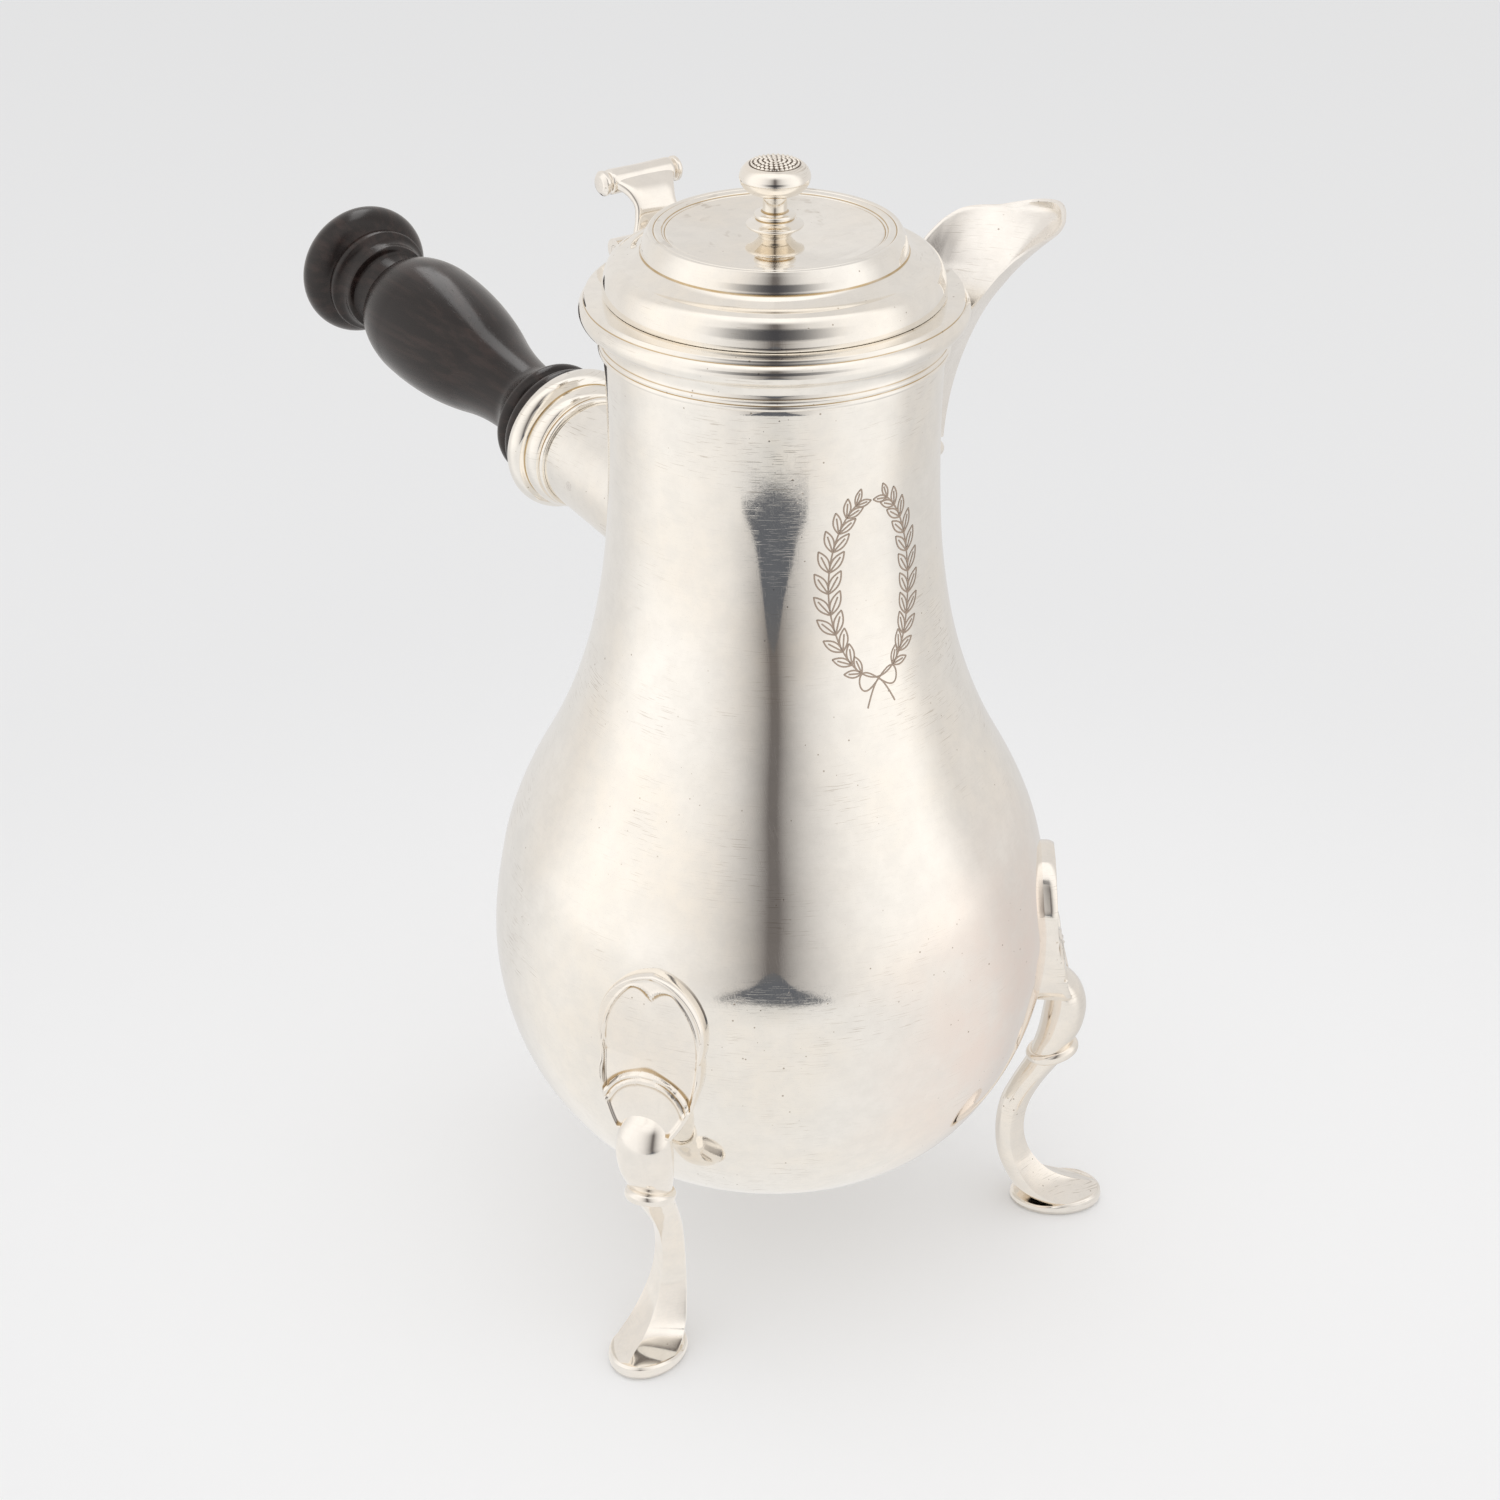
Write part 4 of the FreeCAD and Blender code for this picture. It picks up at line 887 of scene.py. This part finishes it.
# %% Ebony finish and grip
EBONY_DARK, EBONY_BROWN = (0.0115, 0.0074, 0.0068), (0.032, 0.0192, 0.0165)
EBONY_PORE = (0.008, 0.006, 0.006)
EBONY_BUMP, EBONY_BUMP_DEPTH = 0.15, 0.00004
COLLAR_END = SOCKET_END + 13.5
GRIP_END = COLLAR_END + 60
KNOB = GRIP_END + 14
KNOB_END = KNOB + 15.3


def ebony_finish():
    """Dark hardwood: brown streaks along the axis, fine pores, and a satin surface."""
    finish, tree, shader = new_finish("ebony", Specular_IOR_Level=0.4)
    axis = (-TILT, 0, 0)
    streak = noise(placed(tree, (430, 9, 430), axis), 1, 6, 0.6).spread(0.42, 0.72)
    pore = noise(placed(tree, (2600, 70, 2600), axis), 1, 2).spread(0.6, 0.72)
    colour = blended(streak, EBONY_DARK, EBONY_BROWN)
    colour = blended(pore * 0.35, colour, EBONY_PORE)
    rough = noise(placed(tree), 55, 4).spread(0.3, 0.7, 0.17, 0.25) + pore * 0.12
    surfaced(shader, colour, rough, streak - pore, EBONY_BUMP, EBONY_BUMP_DEPTH)
    return finish


grip_outline = [
    (0, SOCKET_END - 32), (11.3, SOCKET_END - 32), (11.3, SOCKET_END), (13.1, SOCKET_END, 130),
    (13.1, SOCKET_END + 4.86), (12.4, SOCKET_END + 4.86, 130), (12.4, SOCKET_END + 9.45),
    (11.9, SOCKET_END + 9.45), (11.9, SOCKET_END + 10.5, -46), (8.9, COLLAR_END + 4, -16),
    (11.34, COLLAR_END + 21.6, 17), (14.7, COLLAR_END + 48, 22), (12.6, GRIP_END - 0.5, 85),
    (8.5, GRIP_END + 1.6, -40), (9.1, KNOB - 4.6), (10.9, KNOB - 4.2), (10.9, KNOB - 2.4, -60),
    (12.8, KNOB), (12.8, KNOB + 1.7), (12.4, KNOB + 2.3, 130), (12.2, KNOB_END - 1.6, 60),
    (9.4, KNOB_END - 0.4, 8), (0, KNOB_END),
]
wood = moved(turned(grip_outline, 0.4, 0.28, 192), on_handle)
grip = add_piece("handle_grip_wood", ebony_finish(), [wood], ["handle_grip"])

# %% [markdown]
# Each foot is a casting: a shield with a rounded border against the belly, a knee with a
# collar, a keeled C-shaped shank, and a toe like a spoon on a thin sole. It is made once in a
# plane through the axis and turned to its three places.

# %% Outlines of the shield
SHIELD_TOP, SHIELD_BOTTOM, SHIELD_HALF, SHIELD_FOOT = 93.6, 57.0, 11.4, 6.1
PANEL_INSET, PANEL_DROP, REEDS_TOP = 1.15, 2.2, SHIELD_BOTTOM + 14.5
KNEE = 64.4


def arcs_through(marks, count=24):
    """Points on circles through each run of three marks: first, middle and last."""
    runs = []
    for first, middle, last in marks:
        a, b, c = (complex(*mark) for mark in (first, middle, last))
        w = (c - a) / (b - a)
        centre = a + (b - a) * (w - abs(w) ** 2) / (w - w.conjugate())
        angle = np.angle((c - centre) / (a - centre))
        if not 0 < np.angle((b - centre) / (a - centre)) / angle < 1:
            angle -= 2 * np.pi * np.sign(angle)
        turns = np.exp(1j * angle * np.linspace(0, 1, count, endpoint=False))
        spots = centre + (a - centre) * turns
        runs.append(np.stack([spots.real, spots.imag], axis=1))
    return np.concatenate(runs)


def shield_edge():
    """Closed outline of the shield: straight foot, full sides, round top."""
    scale = np.array([SHIELD_HALF, SHIELD_TOP - SHIELD_BOTTOM])
    foot = SHIELD_FOOT / SHIELD_HALF
    right = arcs_through([
        ((foot, 0), (0.92, 0.24), (1, 0.5)), ((1, 0.5), (0.76, 0.87), (0, 1)),
    ] * scale, 40)
    base = np.linspace((-foot, 0), (foot, 0), 16, endpoint=False) * scale
    left = right[::-1] * np.array([-1, 1])
    edge = np.concatenate([base, right, [(0, 1) * scale], left[:-1]])
    return edge + np.array([0, SHIELD_BOTTOM])


def panel_edge():
    """Closed outline of the sunk panel: two lobes with a cusp above, an arch below."""
    scale = np.array([SHIELD_HALF - PANEL_INSET, SHIELD_TOP - SHIELD_BOTTOM - PANEL_DROP])
    lobes = arcs_through([
        ((-1, 0.5), (-0.84, 0.79), (-0.46, 0.95)), ((-0.46, 0.95), (-0.18, 0.95), (0, 0.9)),
        ((0, 0.9), (0.18, 0.95), (0.46, 0.95)), ((0.46, 0.95), (0.84, 0.79), (1, 0.5)),
    ] * scale)
    arch = np.array([((0.94, 0.22), (0, 0.4), (-0.94, 0.22))]) * scale
    edge = np.concatenate([lobes, arcs_through(arch, 40), arch[0, 2:]])
    return edge + np.array([0, SHIELD_BOTTOM])


print("shield:", len(shield_edge()), "points round it,", len(panel_edge()), "round its panel")

# %% [markdown]
# The relief follows from distances. Each point of the shield knows how far it lies from the
# border and from the panel, and steps and ridges are functions of these two numbers.

# %% Relief of the shield


def depth_inside(points, outline):
    """Signed distance of points to a closed outline, positive outside, by whole arrays."""
    start, run = outline, np.roll(outline, -1, axis=0) - outline
    away = points[:, None] - start
    share = np.clip((away * run).sum(-1) / np.maximum((run * run).sum(-1), 1e-12), 0, 1)
    far = np.linalg.norm(away - share[..., None] * run, axis=-1).min(axis=1)
    end = start + run
    crosses = (start[:, 1] > points[:, None, 1]) != (end[:, 1] > points[:, None, 1])
    rise = np.where(run[:, 1] == 0, 1e-9, run[:, 1])
    at = start[:, 0] + (points[:, None, 1] - start[:, 1]) * run[:, 0] / rise
    inside = (crosses & (points[:, None, 0] < at)).sum(axis=1) % 2 == 1
    return np.where(inside, -far, far)


def eased(value, low, high):
    """0 below low, 1 above high, and a smooth S between."""
    s = np.clip((value - low) / (high - low), 0, 1)
    return s * s * (3 - 2 * s)


def ridge(distance, place, width):
    """A bell-shaped ridge: exp(-((distance - place) / width) squared)."""
    return np.exp(-((distance - place) / width) ** 2)


def shield_face(height):
    """Reach of the shield's bed: along the belly above, leaning out to the knee below."""
    round_part = np.sqrt(SHOULDER_CURVE**2 - np.maximum(height - BELLY_Z, 0) ** 2)
    lean = KNEE - (KNEE - BELLY) * (height - SHIELD_BOTTOM) / (BELLY_Z - SHIELD_BOTTOM)
    return np.where(height > BELLY_Z, BELLY - SHOULDER_CURVE + round_part, lean)


def shield_skin():
    """Rings from the middle to the outline, raised by the distance to border and panel."""
    edge = shield_edge()
    middle = np.array([0, (SHIELD_TOP + SHIELD_BOTTOM) / 2])
    rings = np.concatenate([np.linspace(0, 0.7, 26), np.linspace(0.71, 1, 44)])
    flat = middle + (edge - middle) * rings[:, None, None]
    spots = flat.reshape(-1, 2)
    rise = depth_inside(spots, panel_edge())
    rim = -depth_inside(spots, edge)
    below = eased(REEDS_TOP - spots[:, 1], 0, 2)
    proud = 1.75 + 0.45 * eased(rise, -0.25, 0.25) + 0.55 * ridge(rim, 0.75, 0.5)
    proud += (1 - below) * 0.22 * ridge(rise, 0.15, 0.3)
    proud += below * 0.42 * (ridge(rise, 0.5, 0.38) + ridge(rise, 1.7, 0.38))
    proud -= 1.1 * (1 - np.sqrt(np.clip(1 - (1 - np.clip(rim / 0.7, 0, 1)) ** 2, 0, 1)))
    front = shield_face(flat[..., 1]) + proud.reshape(flat.shape[:2])
    closing = flat[[-1, 0]]
    sunk = np.minimum(closing[..., 1] - BELLY_Z, 0)
    belly = BELLY - BELLY_CURVE + np.sqrt(BELLY_CURVE**2 - sunk**2)
    behind = np.where(sunk < 0, belly - 0.5, shield_face(closing[..., 1]) - 0.9)
    spread_out = np.concatenate([flat, closing])
    across, height = spread_out[..., 0], spread_out[..., 1]
    return about_z(np.concatenate([front, behind]), across / shield_face(height), height)


# %% [markdown]
# The leg is a section carried down a list of stations. Each station gives a front and a back
# point, a width and a power p. In front the section is cos^p out and sin^p across, so p = 1 is
# an oval and p = 2 a keel with hollow flanks. Behind it is always a half oval.

# %% Leg and sole
STATIONS = np.array([
    (65.2, 61.8, 62.0, 61.0, 8.0, 1.0), (68.8, 58.2, 61.6, 57.4, 11.4, 1.0),
    (70.4, 53.4, 61.0, 52.4, 12.8, 1.0), (69.8, 48.0, 60.0, 45.8, 11.8, 1.0),
    (67.9, 43.6, 58.6, 40.8, 9.4, 1.0), (66.9, 40.2, 57.4, 37.6, 8.9, 1.1),
    (64.4, 36.2, 56.0, 35.0, 8.2, 1.35), (61.2, 31.2, 54.2, 31.6, 7.4, 1.6),
    (58.7, 26.0, 52.2, 27.0, 6.8, 1.75), (57.7, 20.6, 51.3, 21.4, 6.8, 1.85),
    (58.3, 15.4, 51.5, 15.0, 7.8, 1.95), (60.6, 10.8, 53.0, 9.4, 9.8, 2.1),
    (64.2, 7.2, 56.6, 3.6, 12.6, 2.2), (68.4, 5.3, 62.4, 0.9, 14.4, 2.2),
    (72.2, 4.6, 69.2, 0.4, 13.4, 2.0), (75.2, 3.8, 74.2, 0.6, 7.4, 1.4),
])
LEG_FOOT = 1.2
COLLAR_FRONT, COLLAR_BACK = np.array([69.0, 42.2]), np.array([57.6, 38.8])
COLLAR_WIDTH, COLLAR_BEAD = 10.6, 1.35
SOLE_X, SOLE_LONG, SOLE_WIDE = 65.6, 10.5, 8.1


def flowing(stations, rows):
    """Smooth columns through the stations: a cubic between neighbours whose slope at each
    station is half the step from the one before to the one after."""
    slope = np.gradient(stations, axis=0)
    mark = np.linspace(0, len(stations) - 1, rows)
    index = np.minimum(mark.astype(int), len(stations) - 2)
    s = (mark - index)[:, None]
    a, b = stations[index], stations[index + 1]
    return (
        (2 * s**3 - 3 * s**2 + 1) * a + (s**3 - 2 * s**2 + s) * slope[index]
        + (3 * s**2 - 2 * s**3) * b + (s**3 - s**2) * slope[index + 1]
    )


def leg_skin(rows=200, columns=96):
    """Keeled sections between the front and back lines, closed to a point at each end."""
    front_x, front_z, back_x, back_z, width, power = flowing(STATIONS, rows).T[..., None]
    angle = full_turn(columns)
    power = np.where(np.cos(angle) > 0, power, 1.0)
    out = swelled(np.cos(angle), power)
    x = (front_x + back_x) / 2 + (front_x - back_x) / 2 * out
    y = width / 2 * swelled(np.sin(angle), power)
    z = np.maximum((front_z + back_z) / 2 + (front_z - back_z) / 2 * out, LEG_FOOT)
    return capped(np.stack([x, y, z], axis=-1))


def collar_ring(columns=96, rows=32):
    """A ring of bead sections round the leg, rising a little towards the front."""
    angle, bead = full_turn(columns), full_turn(rows)[:, None]
    middle, out = (COLLAR_FRONT + COLLAR_BACK) / 2, (COLLAR_FRONT - COLLAR_BACK) / 2
    up = np.array([-out[1], out[0]]) / np.linalg.norm(out)
    grow = 0.86 + 0.16 * np.cos(bead)
    x, z = (
        middle[axis] + out[axis] * grow * np.cos(angle) + up[axis] * COLLAR_BEAD * np.sin(bead)
        for axis in (0, 1)
    )
    return np.stack([x, COLLAR_WIDTH / 2 * grow * np.sin(angle), z], axis=-1)


def sole(columns=120):
    """An oval pad with one rounded edge, highest in front, and a shallow dish on top."""
    outline = worn([
        (0, 0), (0.91, 0), (0.98, 0.4), (1.0, 1.2), (0.98, 2.1), (0.93, 2.5), (0.86, 2.3),
        (0.65, 1.9), (0, 1.7),
    ], 0.03, 0.04)
    angle = full_turn(columns)
    share, height = outline[:, :1], outline[:, 1:]
    lift = 0.8 + 0.5 * eased(np.cos(angle), -0.6, 0.8)
    x = SOLE_X + SOLE_LONG * share * np.cos(angle)
    return np.stack([x, SOLE_WIDE * share * np.sin(angle), height * lift], axis=-1)


print("leg:", len(STATIONS), "stations")

# %% [markdown]
# The castings of one foot are turned to three places: under the handle, and left and right of
# the camera's view.

# %% Three feet
FEET = {"back": 90.0, "left": -148.6, "right": -36.0}
# skins of each casting, and whether their rows close to a ring
castings = {
    "shield": [(shield_skin(), False)], "leg": [(leg_skin(), False), (collar_ring(), True)],
    "pad": [(sole(), False)],
}
for place, azimuth in FEET.items():
    for part, skins in castings.items():
        grids = [
            cells(turned_round(skin, math.radians(azimuth)), ring, wrap_columns=True)
            for skin, ring in skins
        ]
        add_piece(f"foot_{part}_{place}_cast", CAST, grids, [f"foot_{part}_{place}"])

# %% [markdown]
# The hinge and the hidden fittings keep their solids. A weld joins their loose triangles, and
# an edge split keeps flat faces flat under smooth shading.

# %% Hinge and hidden fittings
KEPT = {
    "hinge_bracket": CAST, "hinge_pin": CAST, "lid_strap": CAST, "finial_nut": PLAIN,
    "handle_pin": PLAIN,
}
SPLIT = math.radians(35)
for node, finish in KEPT.items():
    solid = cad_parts[node]
    solid.data.materials.clear()
    solid.data.materials.append(finish)
    solid.data.shade_smooth()
    solid.modifiers.new("weld", "WELD").merge_threshold = MERGE
    solid.modifiers.new("edge_split", "EDGE_SPLIT").split_angle = SPLIT
print("kept solids:", *KEPT)

# %% [markdown]
# The studio has a pale floor that darkens a little towards the back. Silver throws light on
# the floor around it, so the floor near the pot glows weakly, for the camera alone.

# %% Floor
HEADING = math.radians(-34.3)
AHEAD = np.array([-math.sin(HEADING), math.cos(HEADING)])
ASIDE = np.array([math.cos(HEADING), math.sin(HEADING)])
UP = (0, 0, 1)
FLOOR_FRONT, FLOOR_BACK, FLOOR_GLOW = (0.855, 0.855, 0.86), (0.77, 0.77, 0.773), (1, 0.985, 0.97)
SHADE_START, SHADE_END = -0.25, 1.15
GLOW, GLOW_NEAR, GLOW_FAR = 0.10, 0.06, 0.34
SIDE = 20000


def flat_piece(name, corners, finish):
    """One flat face through corners in millimetres, as part of the stage."""
    mesh = bpy.data.meshes.new(name)
    points = [tuple(np.array(corner) * MM) for corner in corners]
    mesh.from_pydata(points, [], [tuple(range(len(points)))])
    mesh.materials.append(finish)
    piece = new_object(name, mesh)
    return piece


floor_finish, floor_tree, floor_shader = new_finish(
    "studio_floor", Roughness=0.9, Specular_IOR_Level=0.0, Emission_Color=FLOOR_GLOW,
)
spot = placed(floor_tree)
shade = spot.along(AHEAD).spread(SHADE_START, SHADE_END)
feed(floor_shader.inputs["Base Color"], blended(shade, FLOOR_FRONT, FLOOR_BACK))
glow = spot.measure("LENGTH").spread(GLOW_NEAR, GLOW_FAR, GLOW, 0)
glow = glow * added(floor_tree, "ShaderNodeLightPath", output="Is Camera Ray")
feed(floor_shader.inputs["Emission Strength"], glow)
floor_corners = [(-SIDE, -SIDE, 0), (SIDE, -SIDE, 0), (SIDE, SIDE, 0), (-SIDE, SIDE, 0)]
flat_piece("floor", floor_corners, floor_finish)
print("floor:", 2 * SIDE * MM, "m wide")

# %% [markdown]
# Polished silver shows the room. Seen from the pot, brightness depends on the angle a from the
# camera. It is dark at 0, rises as 1 - 0.865 exp(-(a - 2) / 22 degrees), and falls off at the
# sides. Below lies the pale table. It passes into the room at its round front edge, where a
# dark gap opens towards the camera. These sheets are seen by reflections only.

# %% The room in the reflections
GAP_DEPTH, GAP_CORE, GAP_WIDTH = 0.865, 2.0, 22.0
GAP_LOW, GAP_HIGH = math.radians(38), math.radians(66)
COOL, WARM = (0.014, 0.002, 0.0), (1.16, 1.13, 1.095)
TABLE, TABLE_FRONT = (0.87, 0.855, 0.835), (0.72, 0.71, 0.69)
TABLE_RIGHT, TABLE_LEFT = (0.66, 0.65, 0.64), (0.73, 0.725, 0.72)
GAP_NEAR, GAP_FAR = (0.125, 0.132, 0.148), (0.14, 0.138, 0.142)
EDGE, EDGE_ANGLE, FAR = 450.0, 22.7, 1.5 * SIDE
# distance and half width of the dark gap behind the table's edge
GAP_SIDES = [(449, 133), (501, 82), (559, 62), (667, 55), (834, 45), (1000, 6)]


def bearing(where):
    """Angle of a place or direction from the camera's direction, positive to the right."""
    return where.along(ASIDE).math("ARCTAN2", where.along(-AHEAD))


def panel_light(where):
    """Colour of the room in a direction, or at a point as the pot's foot sees it."""
    angle = bearing(where) * (180 / math.pi)
    away = (angle.math("ABSOLUTE") - GAP_CORE).math("MAXIMUM", 0)
    low = where.along(UP).math("ARCSINE").spread(GAP_LOW, GAP_HIGH, GAP_DEPTH, 0)
    gap = (away * (-1 / GAP_WIDTH)).math("EXPONENT") * low
    sides = angle.spread(74, 104, 0.97, 0.66) * angle.spread(-80, -122, 1, 0.73)
    return blended((gap * -1 + 1) * sides, COOL, WARM)


def mirrored_table(where):
    """The pale table, dimmer at its sides and in the middle of its front; far away, and past
    its round edge, it passes into the light of the room."""
    angle, length, room = bearing(where), where.measure("LENGTH"), panel_light(where)
    tone = blended(angle.spread(math.radians(50), math.radians(115)), TABLE, TABLE_RIGHT)
    tone = blended(angle.spread(math.radians(-82), math.radians(-132)), tone, TABLE_LEFT)
    tone = blended(length.spread(0.22, 1.3), tone, room)
    front = where.along(ASIDE).bell(0.09) * where.along(-AHEAD).spread(0.3, 0.44)
    tone = blended(front, tone, TABLE_FRONT)
    blur = angle * angle * 0.35 + 0.004
    beyond = ((length - EDGE * MM) / blur).spread(-1, 1)
    return blended(beyond, tone, room)


def gap_light(where):
    """The dark gap: nearly even, a little warmer far away."""
    return blended(where.along(-AHEAD).spread(0.45, 1.0), GAP_NEAR, GAP_FAR)


def reflected_sheet(name, corners, light, cover=None):
    """A glowing sheet that only reflections see. Its corners are given as distance towards the
    camera, distance to the right, and height; `light` and `cover` follow from the place."""
    finish, tree, shader = new_finish(
        name, Base_Color=(0, 0, 0), Specular_IOR_Level=0.0, Emission_Strength=1.0,
    )
    where = placed(tree)
    feed(shader.inputs["Emission Color"], light(where) if callable(light) else light)
    if cover:
        feed(shader.inputs["Alpha"], cover(where))
    spots = [(*(ASIDE * across - AHEAD * near), height) for near, across, height in corners]
    sheet = flat_piece(name, spots, finish)
    for kind in ("camera", "diffuse", "shadow", "transmission", "volume_scatter"):
        setattr(sheet, f"visible_{kind}", False)


room_corners = [(-FAR, -FAR, 1), (-FAR, FAR, 1), (FAR, FAR, 1), (FAR, -FAR, 1)]
reflected_sheet("mirrored_room", room_corners, mirrored_table)
front_edge = np.radians(np.linspace(0, EDGE_ANGLE, 8))
gap_half = [*zip(EDGE * np.cos(front_edge), EDGE * np.sin(front_edge)), *GAP_SIDES]
gap_corners = [(near, across, 2) for near, across in gap_half]
gap_corners += [(near, -across, 2) for near, across in reversed(gap_half[1:])]
reflected_sheet("dark_gap", gap_corners, gap_light)
print("dark gap:", len(gap_corners), "corners")

# %% [markdown]
# The lid stands nearer to the camera's height and shows a wider, softer dark than the body. A
# dark veil in front of it, seen only in reflections, paints a dark reflection across the middle
# of the lid: a bell across, fading out above and below.

# %% Veil before the lid: a painted dark reflection
VEIL, VEIL_HALF, VEIL_LOW, VEIL_HIGH = 130, 190, 214, 270
# the veil's colour is the painted dark reflection on the lid
VEIL_FADE, VEIL_BELL, VEIL_COVER, VEIL_COLOUR = 12, 0.075, 0.9, (0.055, 0.056, 0.064)


def veil_cover(where):
    """How much the veil hides at a place."""
    height = where.along(UP)
    low = height.spread(VEIL_LOW * MM, (VEIL_LOW + VEIL_FADE) * MM, 0, VEIL_COVER)
    high = height.spread(VEIL_HIGH * MM, (VEIL_HIGH - VEIL_FADE) * MM)
    return where.along(ASIDE).bell(VEIL_BELL) * low * high


veil_corners = [
    (VEIL, -VEIL_HALF, VEIL_LOW), (VEIL, VEIL_HALF, VEIL_LOW), (VEIL, VEIL_HALF, VEIL_HIGH),
    (VEIL, -VEIL_HALF, VEIL_HIGH),
]
# a dark sheet that only reflections see: a painted dark reflection on the lid
reflected_sheet("lid_veil", veil_corners, VEIL_COLOUR, veil_cover)
print("veil:", VEIL, "mm before the axis")

# %% [markdown]
# Dark wood shows light only where it mirrors something brighter than the room. One small soft
# lamp behind and above gives the grip its long highlight, and it is linked to the grip alone.

# %% Lamp for the wood
strip = bpy.data.lights.new("wood_lamp", "AREA")
strip.shape, strip.size, strip.size_y, strip.energy = "RECTANGLE", 0.28, 0.78, 1.4
lamp = new_object("wood_lamp", strip)
lamp.location = (0.22, 0.57, 0.91)
lamp.rotation_euler = (math.radians(-34), 0, math.radians(-26))
lit_wood = bpy.data.collections.new("lit_wood")
lit_wood.objects.link(grip)
lamp.light_linking.receiver_collection = lit_wood
lamp.visible_camera = False
print("lamp for:", grip.name)

# %% [markdown]
# The sky lights everything evenly. The camera sees a pale backdrop in its place, and
# reflections see the room.

# %% Sky
EVEN, BACKDROP = (1.0, 1.0, 1.0), (0.80, 0.80, 0.803)
world = bpy.data.worlds.new("studio")
bpy.context.scene.world = world
world.use_nodes = True
sky = world.node_tree
seen = blended(added(sky, "ShaderNodeLightPath", output="Is Camera Ray"), EVEN, BACKDROP)
room = panel_light(added(sky, "ShaderNodeTexCoord", output="Generated"))
seen = blended(added(sky, "ShaderNodeLightPath", output="Is Glossy Ray"), seen, room)
background = sky.nodes["Background"]
feed(background.inputs["Color"], seen)
background.inputs["Strength"].default_value = 1.0
print("studio ready")

# %% [markdown]
# The camera stands about 80 cm away and looks down by 28 degrees.

# %% Camera
lens = bpy.data.cameras.new("camera")
lens.lens = 82.39
lens.sensor_width = 36.0
lens.clip_start, lens.clip_end = 0.01, 50
camera = new_object("camera", lens)
camera.location = (-0.3728, -0.5377, 0.4653)
camera.rotation_euler = (math.radians(61.896), 0, HEADING)
bpy.context.scene.camera = camera
bpy.context.scene.view_settings.view_transform = "Standard"
print("camera:", lens.lens, "mm lens")
